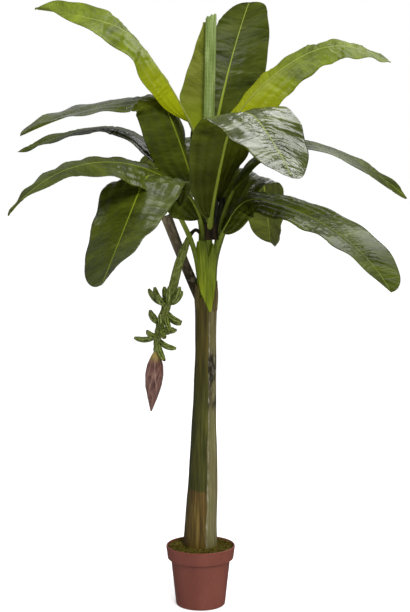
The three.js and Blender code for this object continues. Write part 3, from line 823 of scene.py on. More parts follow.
# %% [markdown]
# ## Tubes along a line
#
# Stalks, bananas and the bud are all tubes whose section changes on the way. A curve object
# with a bevel would give round sections only, and these are channelled, ribbed or scarred. So
# a wrapped grid is laid along a smooth line, and a rule gives the section at each share of the
# length and each angle.

# %% Tube helpers
FINE_STEPS = 24
UV_ROUND = 30


def smooth_line(points, count):
    """Evenly spaced points on a smooth curve through the given ones."""
    given = np.array(points, dtype=float)
    ends = np.vstack([2 * given[0] - given[1], given, 2 * given[-1] - given[-2]])
    fine = []
    for a, b, c, d in zip(ends, ends[1:], ends[2:], ends[3:]):
        for share in np.linspace(0, 1, FINE_STEPS, endpoint=False):
            fine.append(0.5 * ((2 * b) + (c - a) * share + (2 * a - 5 * b + 4 * c - d) * share ** 2
                               + (3 * b - a - 3 * c + d) * share ** 3))
    fine = np.array(fine + [given[-1]])
    run = np.concatenate([[0], np.cumsum(np.linalg.norm(np.diff(fine, axis=0), axis=1))])
    places = np.linspace(0, run[-1], count)
    return np.stack([np.interp(places, run, fine[:, k]) for k in range(3)], axis=1)


def side_frames(line, first_up):
    """Left and up directions along a line, carried on without twisting."""
    ahead = unit(np.gradient(line, axis=0))
    up = np.array(first_up, dtype=float)
    ups = []
    for way in ahead:
        up = up - way * np.dot(up, way)
        up = up / np.linalg.norm(up)
        ups.append(up)
    ups = np.array(ups)
    return np.cross(ups, ahead), ups


def swept(name, line, left, up, sides, section):
    """Tube along a line: section(share, angle) gives millimetres to the left and up."""
    last = len(line) - 1

    def shape(u, v):
        station = np.rint(u * last).astype(int)
        aside, above = section(u, 2 * np.pi * v)
        return line[station] + left[station] * aside[:, None] + up[station] * above[:, None]

    def metric(u, v):
        length = np.linalg.norm(np.diff(line, axis=0), axis=1).sum()
        return np.stack([u * length, v * UV_ROUND], axis=1) * MM

    piece = shaped_grid(name, last, sides, shape, metric)
    sew(piece)
    return piece


def tube(name, line, first_up, sides, section):
    """Tube whose section starts with its upper side towards first_up."""
    return swept(name, line, *side_frames(line, first_up), sides, section)


print("Tube helpers ready")

# %% [markdown]
# ## The core of the crown
#
# Between the leaf stalks a brown fibrous core stands up. It is a tube whose section has deep
# uneven grooves. Its finish has streaks that run upright, drawn out by a noise that is
# stretched twenty times in height, and serves all dry and green sheaths near it.

# %% Core
CORE_X = 20
CORE_RADIUS = 16.5
CORE_FOOT = 1100.3
CORE_TOP = 1345
CORE_GROOVES = 1.3
CORE_FIBRES = 0.5


def core_section(share, angle):
    grooves = waves(CORE_GROOVES, angle, 7, 3 * share) * waves(1, angle, 13)
    return polar(CORE_RADIUS + grooves + waves(CORE_FIBRES, angle, 29), angle)


def streaked_finish(name, dark, middle, light, roughness, light_from=0.72, top_painted_shade=0.0):
    """Lengthwise streaks on a stalk or sheath that stands upright, with painted shade that
    darkens it towards its top by the given share."""
    material, tree, shader = new_finish(name, roughness, specular=0.3)
    streaks = noise(tree, "Object", 190, 5, squeeze=(1, 1, 0.05))
    patches = noise(tree, "Object", 30, 3, squeeze=(1, 1, 0.4))
    body = ramp(tree, streaks, [(0.3, dark), (0.5, middle), (light_from, light)])
    body = overlaid(tree, body, dark, patches, 0.45, 0.75, 0.45)
    # Painted shade, darker towards the top of the piece.
    body = overlaid(tree, body, dark, attribute(tree, "along"), 0.55, 1, top_painted_shade)
    tree.links.new(body, shader.inputs["Base Color"])
    relief(tree, shader, (streaks, 0.8, 0.5))
    return material


core_line = np.linspace([CORE_X, 0, CORE_FOOT], [CORE_X, 0, CORE_TOP], 40)
core = tube("crown_core_fibre", core_line, (0, 1, 0), 72, core_section)
core_brown = streaked_finish("core_brown", "#140f05", "#2c200e", "#4a3a1d", 0.8, 0.75)
dress(core, core_brown)
hand_over(core, "core_brown", "crown_core")

# %% [markdown]
# ## The green sheath
#
# Round the front of the core lies one bright green sheath, pointed at the bottom like a tongue
# and split into two ribs towards the top, where its edge is notched. It is an open sheet that
# a Solidify modifier gives its 3.2 mm, because its back is open and its edge shows. One list
# gives the middle of the sheet at each height, one its width, one its distance from the core's
# axis, and one the height at which it ends for each share across.

# %% Sheath
SHEATH_THICKNESS = 3.2
SHEATH_HEADING = [(1050, 290), (1088, 282), (1123, 277), (1160, 274), (1300, 264)]
SHEATH_HALF_ANGLE = [(1050, 2), (1088, 21), (1123, 38), (1160, 48), (1240, 54), (1300, 48)]
SHEATH_INSIDE = [(1050, 39.6), (1112, 39.8), (1170, 37), (1300, 42)]
SHEATH_TOP = [
    (-1, 1252), (-0.8, 1290), (-0.5, 1300), (0.05, 1296), (0.22, 1232), (0.42, 1262), (0.7, 1292),
    (1, 1262),
]
SHEATH_FOOT = 1050
SHEATH_RIBS = (-0.62, 0.55)
SHEATH_RIB_FROM = (1075, 1300)
SHEATH_RIB_HEIGHT = 5.5
SHEATH_RIB_BREADTH = 0.26


def bent_sheet(name, steps_u, steps_v, shape, thickness):
    """An open sheet with a wall, closed along its edges."""
    piece = shaped_grid(name, steps_u, steps_v, shape)
    use_modifier(piece, "SOLIDIFY", thickness=thickness * MM, offset=0)
    sew(piece)
    return piece


def sheath_shape(u, v):
    across = 2 * v - 1
    height = between((SHEATH_FOOT, eased(SHEATH_TOP, across, 0.06)), u)
    rise = smooth_step(height, *SHEATH_RIB_FROM)
    ribs = [bump(across - place * rise, SHEATH_RIB_BREADTH) for place in SHEATH_RIBS]
    radius = eased(SHEATH_INSIDE, height, 12) + SHEATH_THICKNESS / 2
    radius = radius + SHEATH_RIB_HEIGHT * rise ** 0.6 * np.maximum(*ribs) - 0.5 * rise
    radius = radius + waves(0.35, across, 34)
    angle = eased(SHEATH_HEADING, height, 8) + eased(SHEATH_HALF_ANGLE, height, 8) * across
    return upright(CORE_X, radius, np.radians(angle), height)


sheath = bent_sheet("crown_sheath_wrap", 90, 72, sheath_shape, SHEATH_THICKNESS)
# The green sheath is darkened towards its top by painted shade.
dress(sheath, streaked_finish("sheath_green", "#485506", "#68770a", "#929d24", 0.38, top_painted_shade=0.6))
hand_over(sheath, "sheath_green", "crown_sheath")

# %% [markdown]
# ## The shoulder and the stubs
#
# Behind the sheath the trunk ends in a thin brown shoulder that lies close round its top. Two
# ragged strips stand between the stalks, the dead bases of leaves that were cut off: one short,
# one long and flaring. All three are bent sheets of their own, because no solid of the frame
# has them, and each fills a gap that would let the background through.

# %% Shoulder and stubs
SHOULDER_HEADINGS = (-52, 232)
SHOULDER_FOOT = 1052
SHOULDER_TOP = 1150
SHOULDER_STAND = 2.2
SHOULDER_TUCK = 2.5
SHOULDER_THICKNESS = 1.6
STUBS = [
    dict(name="crown_stub", headings=(-96, -36), heights=(1301, 1362), radii=(50, 45),
         ragged=3),
    dict(name="crown_fibre", headings=(-62, 35), heights=(1300, 1436), radii=(31, 65),
         ragged=11),
]
STUB_THICKNESS = 3
STUB_FOOT = 2.5
STUB_FIBRES = 0.5


def shoulder_shape(u, v):
    """Headings run from the right, round the back, to the left."""
    angle = np.radians(between(SHOULDER_HEADINGS, v))
    top = SHOULDER_TOP + waves(9, angle, 3) + waves(3, angle, 17)
    height = between((SHOULDER_FOOT, top), u)
    stand = SHOULDER_STAND * smooth_step(u, -0.2, 0.5) - SHOULDER_TUCK * smooth_step(u, 0.55, 1)
    radius = trunk_radius(height) + stand + waves(0.4, angle, 31, height / 40)
    return upright(CORE_X, radius, angle, height)


def stub_sheet(stub):
    """Dead brown base of a cut leaf: a bent strip, thick at its foot, ragged along its top."""
    def shape(u, v):
        angle = np.radians(between(stub["headings"], v))
        ragged = waves(stub["ragged"], angle, 17) + waves(stub["ragged"] / 2, angle, 53)
        foot, top = stub["heights"]
        radius = between(stub["radii"], u) + STUB_FOOT * bump(u, 0.06) + waves(STUB_FIBRES, angle, 53)
        return upright(CORE_X, radius, angle, between((foot, top + ragged), u))

    return bent_sheet(stub["name"], 30, 40, shape, STUB_THICKNESS)


shoulder = bent_sheet("trunk_shoulder", 30, 160, shoulder_shape, SHOULDER_THICKNESS)
dress(shoulder, streaked_finish("shoulder_brown", "#3a3013", "#544821", "#716439", 0.6))
hand_over(shoulder, "trunk_sheath")

core_olive = streaked_finish("core_olive", "#12140a", "#20230e", "#33371a", 0.8, 0.75)
for stub, finish in zip(STUBS, (core_brown, core_olive)):
    strip = stub_sheet(stub)
    dress(strip, finish)
    hand_over(strip, "core_brown")

# %% [markdown]
# ## The old leaf stalk
#
# One old leaf was cut off long ago: its stalk leans out to the left, dull brown, with the
# channel that every banana leaf stalk has on its upper side, and ends in a plain cut. It is
# a tube whose section is a rounded trough.

# %% Old leaf stalk
OLD_STALK_PATH = [(18, 8, 1040), (-48, 14, 1205), (-117, 20, 1385)]
OLD_STALK_HALF = (15, 21)
OLD_STALK_DEPTH = 1.15
OLD_STALK_RIM = 1.05
OLD_STALK_CHANNEL = 0.35


def trough(angle, half, depth, rim, channel):
    """Section of a leaf stalk: round below, with two rims and a channel between above."""
    above = np.clip(np.sin(angle), 0, 1)
    below = np.clip(-np.sin(angle), 0, 1)
    height = rim * above ** 0.6 - channel * above ** 2.5 - depth * below ** 0.8
    return half * np.cos(angle), height


def old_stalk_section(share, angle):
    half = between(OLD_STALK_HALF, share)
    ridges = 1 + waves(0.035, angle, 11) + waves(0.02, angle, 23, 9 * share)
    channel = OLD_STALK_CHANNEL * half * smooth_step(share, 0.2, 0.6)
    return trough(angle, half * ridges, OLD_STALK_DEPTH * half, OLD_STALK_RIM * half, channel)


def old_brown_finish():
    """Dark streaks at the foot, paler and spotted towards the cut."""
    material, tree, shader = new_finish("dry_brown", roughness=0.8, specular=0.25)
    streaks = noise(tree, "UV", 9, 5, squeeze=(3, 60, 1))
    spots = noise(tree, "Object", 60, 4)
    foot = ramp(tree, streaks, [(0.28, "#17120a"), (0.5, "#292213"), (0.75, "#433b28")])
    top = ramp(tree, streaks, [(0.28, "#40372a"), (0.5, "#675c47"), (0.75, "#8c816c")])
    body = overlaid(tree, foot, top, attribute(tree, "along"), 0.4, 0.9)
    body = overlaid(tree, body, "#857b66", spots, 0.55, 0.75, 0.45)
    tree.links.new(body, shader.inputs["Base Color"])
    relief(tree, shader, (streaks, 1.2, 0.6), (spots, 0.8, 0.4))
    return material


old_stalk = tube("old_stalk_dry", smooth_line(OLD_STALK_PATH, 90), (1, 0, 0.4), 64, old_stalk_section)
dress(old_stalk, old_brown_finish())
hand_over(old_stalk, "dry_brown", "old_leaf_stalk")

# %% [markdown]
# ## The fruit stalk
#
# The bunch hangs on a stalk as thick as a thumb, which comes out of the crown as a thin dark
# hook, bends over and hangs down the left side. Rings remain on it where the flower's covering
# leaves dropped off. Those rings are small steps in the radius, so they catch light from any
# side. The hook's faces get a brown finish, the rest a streaked green one, which can also
# darken the grooves of the bananas with painted shade.

# %% Fruit stalk
FRUIT_STALK_PATH = [
    (0, -14, 1322), (-17, -26, 1334), (-36, -38, 1316), (-50, -46, 1283),
    (-62, -52, 1252), (-78, -57, 1206), (-96, -60, 1133), (-104, -60, 1112),
]
FRUIT_STALK_RADII = [(0, 5), (0.2, 7), (0.42, 15), (1, 16)]
RINGS = (0.36, 0.5, 0.66, 0.82, 0.93)
RING_DEPTH = 1.1
RING_RIM = 0.8
RING_BREADTH = 0.006
HOOK_END_X = -40
FINGER_RIBS = 5


def fruit_stalk_section(share, angle):
    radius = eased(FRUIT_STALK_RADII, share, 0.06)
    radius = radius + waves(0.4, angle, 9, 4 * share) + waves(0.2, angle, 21)
    for ring in RINGS:
        past = share - ring - waves(RING_BREADTH, angle, 2)
        rim = RING_RIM * bump(past - 2 * RING_BREADTH, RING_BREADTH)
        radius = radius - RING_DEPTH * bump(past, RING_BREADTH) + rim
    return polar(radius, angle)


def stripes(tree, count):
    """1 on as many lines round a tube as the count says, 0 midway between them."""
    turns = calculated(tree, "MULTIPLY", attribute(tree, "around"), 2 * math.pi * count)
    return ramped(tree, calculated(tree, "COSINE", turns), -1, 1)


def fruit_finish(name, dark, middle, light, grooves=0.0):
    material, tree, shader = new_finish(name, roughness=0.42, specular=0.35)
    streaks = noise(tree, "UV", 6, 4, squeeze=(12, 90, 1))
    patches = noise(tree, "Object", 48, 4)
    body = ramp(tree, streaks, [(0.3, dark), (0.5, middle), (0.75, light)])
    body = overlaid(tree, body, dark, patches, 0.5, 0.72, 0.55)
    # Painted shade in the grooves between the five ribs, as strong as grooves says.
    body = overlaid(tree, body, dark, stripes(tree, FINGER_RIBS), 0.4, 0.05, grooves)
    tree.links.new(body, shader.inputs["Base Color"])
    relief(tree, shader, (streaks, 0.6, 0.5), (patches, 0.6, 0.3))
    return material


def finish_faces(piece, choose):
    """Gives each face the number of the finish that choose(centre in millimetres) returns."""
    for face in piece.data.polygons:
        face.material_index = choose(np.array(face.center) / MM)


# The fruit stalk gets a faint share of the painted groove shade, in five stripes round it.
stalk_green = fruit_finish("fruit_stalk_green", "#343b10", "#5c6528", "#858d50", grooves=0.2)
hook_brown = fruit_finish("hook_brown", "#17130c", "#2b2416", "#443a22")
stalk_line = smooth_line(FRUIT_STALK_PATH, 180)
fruit_stalk = tube("fruit_stalk_scarred", stalk_line, (0, 0, 1), 48, fruit_stalk_section)
dress(fruit_stalk, stalk_green, hook_brown)
finish_faces(fruit_stalk, lambda centre: 1 if centre[0] > HOOK_END_X else 0)
hand_over(fruit_stalk, "fruit_green", "fruit_stalk")

# %% [markdown]
# ## The bananas
#
# Six hands of small green bananas sit round the hanging stalk. A banana is a five-ribbed tube
# that leaves the stalk by a thin neck, curls upwards and ends in a short brown blossom end. One
# rule makes them all: each hand says how high it sits, between which headings it spreads and
# how far its fingers are lifted.

# %% Bananas
BUNCH_PATH = [
    (-104, -60, 1111.5), (-112, -60, 1091), (-126, -60, 1045),
    (-140, -60, 1003), (-149, -60, 961), (-152.2, -60, 914.6),
]
BUNCH_RADII = [(0, 16), (0.5, 14.5), (1, 11)]
HANDS = [
    dict(height=1078, headings=(60, 370), count=8, lift=34, length=84),
    dict(height=1064, headings=(-65, 25), count=3, lift=-60, length=88),
    dict(height=1014, headings=(120, 270), count=4, lift=26, length=70),
    dict(height=1002, headings=(-70, 55), count=4, lift=-28, length=66),
    dict(height=974, headings=(165, 240), count=2, lift=-8, length=88),
    dict(height=966, headings=(-60, 10), count=2, lift=-56, length=92),
]
LIFT_STEP = 8
SHORTENING = 0.08
FINGER_RADII = [(0, 4.5), (0.14, 6), (0.32, 9.6), (0.6, 10.2), (0.86, 9), (0.95, 6), (1, 4)]
RIB_HEIGHT = 0.09
FINGER_CURL = 22
FINGER_STEPS = 26
TIP_SHARE = 0.955


def bunch_section(share, angle):
    radius = eased(BUNCH_RADII, share, 0.05) + waves(0.5, angle, 9) + waves(0.7, share, 60)
    return polar(radius, angle)


def finger_section(share, angle):
    ribs = 1 + RIB_HEIGHT * np.cos(FINGER_RIBS * angle) * np.sin(np.pi * np.clip(share, 0, 1))
    return polar(eased(FINGER_RADII, share, 0.035) * ribs, angle)


def direction(heading, lift=0.0):
    """Unit vector at a heading round the plant and a lift above level, in degrees."""
    heading, lift = math.radians(heading), math.radians(lift)
    level = math.cos(lift)
    return np.array([math.cos(heading) * level, math.sin(heading) * level, math.sin(lift)])


def joined(name, pieces):
    bpy.ops.object.select_all(action="DESELECT")
    for piece in pieces:
        piece.select_set(True)
    bpy.context.view_layer.objects.active = pieces[0]
    bpy.ops.object.join()
    pieces[0].name = name
    return pieces[0]


def finger(name, root, heading, lift, length):
    """One banana: a curve that leaves the stalk low and curls up to its end."""
    middle = root + 0.55 * length * direction(heading, lift - FINGER_CURL)
    end = root + length * direction(heading, lift + FINGER_CURL / 2)
    share = np.linspace(0, 1, FINGER_STEPS + 1)[:, None]
    line = root * (1 - share) ** 2 + 2 * middle * share * (1 - share) + end * share ** 2
    piece = tube(name, line, (0.1, 0.2, 1), 20, finger_section)
    tip = (1 - TIP_SHARE) * length
    dress(piece, banana_green, tip_brown)
    finish_faces(piece, lambda centre: 1 if np.linalg.norm(centre - end) < tip else 0)
    return piece


def hand_of_bananas(number, hand, stem):
    """Fingers fanned out between the hand's headings, unevenly lifted and long."""
    root = np.array([np.interp(-hand["height"], -stem[:, 2], stem[:, k]) for k in range(3)])
    fingers = []
    for i in range(hand["count"]):
        heading = between(hand["headings"], i / (hand["count"] - 1))
        lift = hand["lift"] + LIFT_STEP * ((i * 7) % 4 - 1.5)
        length = hand["length"] * (1 - SHORTENING * ((i * 5) % 3))
        fingers.append(finger(f"finger_{number}_{i}", root, heading, lift, length))
    return fingers


# The bananas are darkened in the grooves between their ribs by painted shade.
banana_green = fruit_finish("banana_green", "#1d2608", "#616d28", "#adb571", grooves=0.75)
tip_brown = fruit_finish("blossom_end", "#1e180c", "#3d321a", "#5b4c2a")
bunch_line = smooth_line(BUNCH_PATH, 90)
bunch = [tube("bunch_stem", bunch_line, (0, 1, 0), 40, bunch_section)]
dress(bunch[0], stalk_green)
for number, hand in enumerate(HANDS):
    bunch += hand_of_bananas(number, hand, bunch_line)
print("Bananas:", len(bunch) - 1)
hand_over(joined("banana_hands", bunch), "fruit_green", "fruit_bunch")

# %% [markdown]
# ## The flower bud
#
# Below the bunch hangs the purple bud: pointed leathery bracts that wrap each other like the
# scales of an onion, yellowish at the top where they join the stalk. Each bract is a region of
# the same skin that lies a little further out than those under it, widest at its foot and
# drawn to a point, so its edge shows as a real step. Each is given by its heading, the share
# of the bud's length at which it ends, and half its spread in degrees.

# %% Flower bud
BUD_TOP = (-152.2, -60, 914)
BUD_TIP = (-172, -58, 705)
BUD_UP = (1, 0, 0)
BUD_RADII = [(0, 9), (0.08, 17), (0.22, 28), (0.38, 32), (0.6, 28), (0.8, 17), (0.93, 8), (1, 2.5)]
BUD_TUCK = 2.2
BRACTS = [
    (200, 0.99, 95), (20, 0.97, 95), (290, 0.93, 80), (110, 0.9, 80), (235, 0.8, 62),
    (335, 0.62, 58),
]
BRACT_STEP = 0.78
BRACT_EDGE = 3
BRACT_EDGE_SHARE = 0.35


def bract_cover(share, angle):
    """How many bracts lie over each point of the bud, and how near a bract's edge it is."""
    cover = np.zeros_like(share)
    edge = np.zeros_like(share)
    for heading, tip, half in BRACTS:
        width = half * (1 - np.clip(share / tip, 0, 1) ** 2.2)
        away = np.abs((np.degrees(angle) - heading + 180) % 360 - 180)
        inside = width - away
        cover = cover + smooth_step(inside, 0, 4)
        edge = np.maximum(edge, bump(inside - BRACT_EDGE, BRACT_EDGE) * (share < tip))
    return cover, edge


def bud_section(share, angle):
    cover, _ = bract_cover(share, angle)
    body = eased(BUD_RADII, share, 0.03)
    fullness = np.clip(body / 20, 0.15, 1)
    steps = BRACT_STEP * cover - BUD_TUCK + waves(0.25, angle, 31)
    return polar(body + fullness * steps, angle)


def bud_finish():
    material, tree, shader = new_finish("bud_purple", roughness=0.42)
    streaks = noise(tree, "UV", 10, 5, squeeze=(3, 100, 1))
    body = ramp(tree, streaks, [(0.3, "#35211c"), (0.5, "#603f37"), (0.75, "#8d6c60")])
    crest = ramp(tree, streaks, [(0.3, "#63571f"), (0.7, "#9a8844")])
    body = mixed(tree, attribute(tree, "crest"), body, crest)
    body = mixed(tree, attribute(tree, "edge"), body, "#9c8272")
    tree.links.new(body, shader.inputs["Base Color"])
    relief(tree, shader, (streaks, 1.0, 0.6))
    return material


def paint_bud(piece, line):
    """Tells the finish where the yellowish top is, and how near a point is to a bract's edge."""
    places = points_of(piece)
    share = np.clip((BUD_TOP[2] - places[:, 2]) / (BUD_TOP[2] - BUD_TIP[2]), 0, 1)
    left, up = (ways[0] for ways in side_frames(line, BUD_UP))
    away = places - between((line[0], line[-1]), share[:, None])
    _, edge = bract_cover(share, np.arctan2(away @ up, away @ left))
    paint(piece, "crest", 1 - smooth_step(share, 0.05, 0.2))
    paint(piece, "edge", BRACT_EDGE_SHARE * edge)


bud_line = np.linspace(BUD_TOP, BUD_TIP, 150)
bud = tube("flower_bud_bracts", bud_line, BUD_UP, 140, bud_section)
paint_bud(bud, bud_line)
dress(bud, bud_finish())
hand_over(bud, "bud_purple", "flower_bud")

# %% [markdown]
# ## The thirteen leaves
#
# Each leaf rises from the crown, then folds over and hangs. The fabric is flat and bends about
# one slanted line, so a few numbers lay it out. `place` says where its stalk stands in the ring,
# and `start`, `head`, `rise` and `roll` where the leaf sets off and how it is turned. `bend` is
# the sharp fold at the share `at` of its length, eased `over` a share, `arch` the slow droop
# along all of it, `skew` the slant of the line it bends about, and `twist` a slow turn round the
# midrib. `stalk` and `blade` are lengths, `half` is half the width, and `left` and `right` tilt
# each half of the blade at its base and at its tip. Angles are in degrees, lengths in mm.
#
# A few leaves need more: the inner `ring`, an arch that sets in earlier or later through
# `arch_power`, a `blunt` end, a narrower foot through `base` and `taper`, only the `kept` share
# of the blade's length, or a `straight_tip`, whose margins end side by side.

# %% The leaves
LEAVES = [
    dict(name="front", place=285, start=(18, -9, 1272), head=-66, rise=69, roll=13, skew=11,
         bend=89, at=0.58, over=0.35, arch=35, arch_power=1.7, twist=-35, stalk=118, blade=803,
         half=149, left=(43, -25), right=(-32, 14), blunt=6),
    dict(name="front_left", place=213, start=(10, -7, 1233), head=224, rise=53, roll=21, skew=-16,
         bend=106, at=0.42, over=0.25, arch=-2, twist=39, stalk=227, blade=706, half=138,
         left=(-32, 22), right=(3, -12), blunt=6, kept=0.985),
    dict(name="low_right", place=322, start=(35, -6, 1244), head=-25, rise=62, roll=8, skew=-25,
         bend=73, at=0.26, over=0.2, arch=56, arch_power=1.5, twist=20, stalk=94, blade=812,
         half=128, left=(23, 46), right=(-47, -17)),
    dict(name="low_left", place=249, start=(23, -9, 1249), head=218, rise=80, roll=8, skew=-12,
         bend=39, at=0.18, over=0.3, arch=97, arch_power=1.5, twist=12, stalk=129, blade=874,
         half=127, left=(-93, 35), right=(34, -28)),
    dict(name="mid_left", place=178, start=(25, -13, 1307), head=203, rise=75, roll=-25, skew=17,
         bend=78, at=0.51, over=0.15, arch=30, arch_power=1.5, twist=-22, stalk=191, blade=809,
         half=131, left=(-66, 2), right=(-9, 32)),
    dict(name="upper_left", ring="inner", place=190, start=(35, -5, 1494), head=213, rise=78,
         roll=-13, skew=-35, bend=34, at=0.67, over=0.17, arch=59, arch_power=0.8, twist=13,
         stalk=223, blade=690, half=125, left=(-74, 34), right=(-2, 3), base=0.45, taper=1.8),
    dict(name="upper_right", ring="inner", place=350, start=(7, -4, 1476), head=-24, rise=71,
         roll=19, skew=6, bend=24, at=0.77, over=0.28, arch=80, twist=11, stalk=207, blade=694,
         half=122, left=(9, -4), right=(-60, 8)),
    dict(name="top", ring="inner", place=80, start=(8, -4, 1354), head=46, rise=84, roll=2,
         skew=22, bend=78, at=1.01, over=0.18, arch=31, arch_power=1, twist=20, stalk=200,
         blade=667, half=133, left=(-18, -16), right=(-49, 32)),
    dict(name="back_right", place=33, start=(27, 0, 1241), head=45, rise=51, roll=-1, skew=24,
         bend=109, at=0.46, over=0.19, arch=-1, twist=-1, stalk=184, blade=655, half=118,
         left=(7, -22), right=(15, -17), blunt=6, kept=0.96, straight_tip=1),
    dict(name="right", place=358, start=(31, -8, 1231), head=8, rise=79, roll=-9, skew=-2,
         bend=60, at=0.47, over=0.47, arch=60, arch_power=1, twist=20, stalk=253, blade=741,
         half=119, left=(-3, 13), right=(-6, -12)),
    dict(name="left", place=143, start=(29, -1, 1363), head=171, rise=57, roll=2, skew=3, bend=45,
         at=0.52, over=0.32, arch=34, arch_power=1.1, twist=-18, stalk=165, blade=686, half=119,
         left=(-6, -7), right=(-17, 14)),
    dict(name="back", place=69, start=(26, 20, 1270), head=88, rise=70, roll=0, skew=8, bend=90,
         at=0.5, over=0.26, arch=20, twist=0, stalk=200, blade=660, half=118, left=(5, 0),
         right=(5, 0)),
    dict(name="back_left", place=106, start=(16, 14, 1290), head=126, rise=72, roll=0, skew=-12,
         bend=84, at=0.44, over=0.26, arch=24, twist=0, stalk=190, blade=640, half=116,
         left=(4, 0), right=(4, 0)),
]
PLAIN_LEAF = dict(ring="outer", arch_power=1.3, blunt=4, base=0.26, taper=1, kept=1, straight_tip=0)
LEAVES = [PLAIN_LEAF | leaf for leaf in LEAVES]
print("Leaves to make:", len(LEAVES))

# %% [markdown]
# ## How a banana leaf bends
#
# The rule walks along the midrib in short steps, and at each step turns the leaf by its share
# of the droop. It is the rule that shaped the solids, walked in finer steps. The walk goes on
# a little past the tip, because a slanted bend line can reach beyond it.

# %% The rule of the bend
SPINE_STEPS = 128
SPINE_REACH = 1.2


def turned(vector, axis, angle):
    """A vector turned about an axis, in radians."""
    return (vector * math.cos(angle) + np.cross(axis, vector) * math.sin(angle)
            + axis * np.dot(axis, vector) * (1 - math.cos(angle)))


def droop(leaf, share):
    """How far the leaf has turned downwards at a share of its length."""
    folded = smooth_step(share, leaf["at"] - leaf["over"] / 2, leaf["at"] + leaf["over"] / 2)
    return math.radians(leaf["arch"] * share ** leaf["arch_power"] + leaf["bend"] * folded)


def walk_midrib(leaf):
    """Point, ahead, left and distance in short steps along a leaf's midrib."""
    total = leaf["stalk"] + leaf["blade"]
    step = SPINE_REACH * total / SPINE_STEPS
    slant = math.radians(leaf["skew"])
    point = np.array(leaf["start"], dtype=float)
    ahead = direction(leaf["head"], leaf["rise"])
    left = turned(direction(leaf["head"] + 90), ahead, math.radians(leaf["roll"]))
    rows = [(point, ahead, left)]
    for i in range(SPINE_STEPS):
        share = i * step / total
        turn = droop(leaf, share + step / total) - droop(leaf, share)
        bend_line = left * math.cos(slant) + ahead * math.sin(slant)
        onward = turned(ahead, bend_line, turn)
        left = turned(left, bend_line, turn)
        left = turned(left, onward, math.radians(leaf["twist"] * step / total))
        point = point + (ahead + onward) * step / 2
        ahead = onward
        rows.append((point, ahead, left))
    points, aheads, lefts = (np.array(column) for column in zip(*rows))
    return {"points": points, "aheads": aheads, "lefts": lefts,
            "distances": np.arange(SPINE_STEPS + 1) * step, "slant": slant}


def on_midrib(spine, distance):
    """Point, ahead and left at any distances along the midrib."""
    def read(rows):
        return np.stack([np.interp(distance, spine["distances"], rows[:, k]) for k in range(3)], axis=-1)
    return read(spine["points"]), unit(read(spine["aheads"])), unit(read(spine["lefts"]))


def on_leaf(spine, distance, offset, lift):
    """Place of a point that lies offset to the left of the midrib and lift above it."""
    slant = spine["slant"]
    point, ahead, left = on_midrib(spine, distance - offset * math.tan(slant))
    ruling = left * math.cos(slant) + ahead * math.sin(slant)
    normal = np.cross(ahead, left)
    return point + ruling * (offset / math.cos(slant))[:, None] + normal * lift[:, None]


print("Steps along each midrib:", SPINE_STEPS)

# %% [markdown]
# ## The relief of the blade
#
# A printed silk leaf never lies flat. Five kinds of relief make it look like fabric that was
# pressed, packed and bent open again. The halves belly between midrib and margin, and shallow
# pleats run beside the midrib near the stalk. The margin waves, and sharp creases run slantwise
# where the leaf was folded. They are placed by a seeded rule and are deepest near the bend.
# Fine ripples follow the side veins.

# %% Blade relief
BELLY = 0.045
BELLY_END = (0.8, 0.97)
PLEATS = 3.3
PLEAT_DEPTH = 2.2
MARGIN_WAVE = 2.5
WAVE_PITCH = (85, 165)
CREASES = 22
CREASE_PLACE = (0.02, 0.98)
CREASE_SLANT = (-0.1, 0.75)
CREASE_BREADTH = (3.5, 9)
CREASE_DEPTH = (0.5, 1.6)
CREASE_REACH = (0.55, 1.05)
CREASE_FADE = 0.25
FOLD_REACH = 110
FOLD_DEPTH = 1.3
VEIN_PITCH = 15
VEIN_DEPTH = 0.15
VEIN_SLANT = 0.32


def creases(draws, leaf, run, width, across):
    """Height of the seeded creases on one half, at distance run along the blade."""
    fold = leaf["at"] * (leaf["stalk"] + leaf["blade"]) - leaf["stalk"]
    height = np.zeros_like(run)
    for _ in range(CREASES):
        place = draws.uniform(*CREASE_PLACE) * leaf["blade"]
        slant = draws.uniform(*CREASE_SLANT)
        breadth = draws.uniform(*CREASE_BREADTH)
        deeper = 1 + FOLD_DEPTH * bump(place - fold, FOLD_REACH)
        depth = draws.choice([-1, 1]) * draws.uniform(*CREASE_DEPTH) * deeper
        reach = draws.uniform(*CREASE_REACH)
        away = run - slant * across * width - place
        fade = smooth_step(across, 0, 0.18) * (1 - smooth_step(across, reach, reach + CREASE_FADE))
        height = height + depth * bump(away, breadth) * fade
    return height


def margin_wave(draws, run):
    """Two waves of seeded pitch and phase, added."""
    pitches = draws.uniform(*WAVE_PITCH, 2)
    phases = draws.uniform(0, 2 * np.pi, 2)
    return sum(np.sin(2 * np.pi * run / pitch + phase) for pitch, phase in zip(pitches, phases))


def blade_relief(leaf, seed, t, across_signed, width):
    """How far the fabric stands off its flat half, in millimetres."""
    draws = np.random.default_rng(seed)
    across = np.abs(across_signed)
    run = t * leaf["blade"]
    height = BELLY * width * np.sin(np.pi * across ** 0.8) * (1 - smooth_step(t, *BELLY_END))
    pleats = np.sin(2 * np.pi * PLEATS * across + draws.uniform(0, 2 * np.pi) + 3 * t)
    near_stalk = smooth_step(across, 0.05, 0.3) * (1 - smooth_step(t, 0.2, 0.9))
    height = height + PLEAT_DEPTH * pleats * near_stalk
    for sign in (-1, 1):
        wave = MARGIN_WAVE * margin_wave(draws, run) * across ** 2.2 * smooth_step(t, 0, 0.15)
        half = wave + creases(draws, leaf, run, width, across)
        height = height + half * (np.sign(across_signed) == sign)
    veins = np.sin(2 * np.pi * (run - VEIN_SLANT * across * width) / VEIN_PITCH)
    return height + VEIN_DEPTH * veins * smooth_step(across, 0.02, 0.2)


print("Creases on each half of a blade:", CREASES)

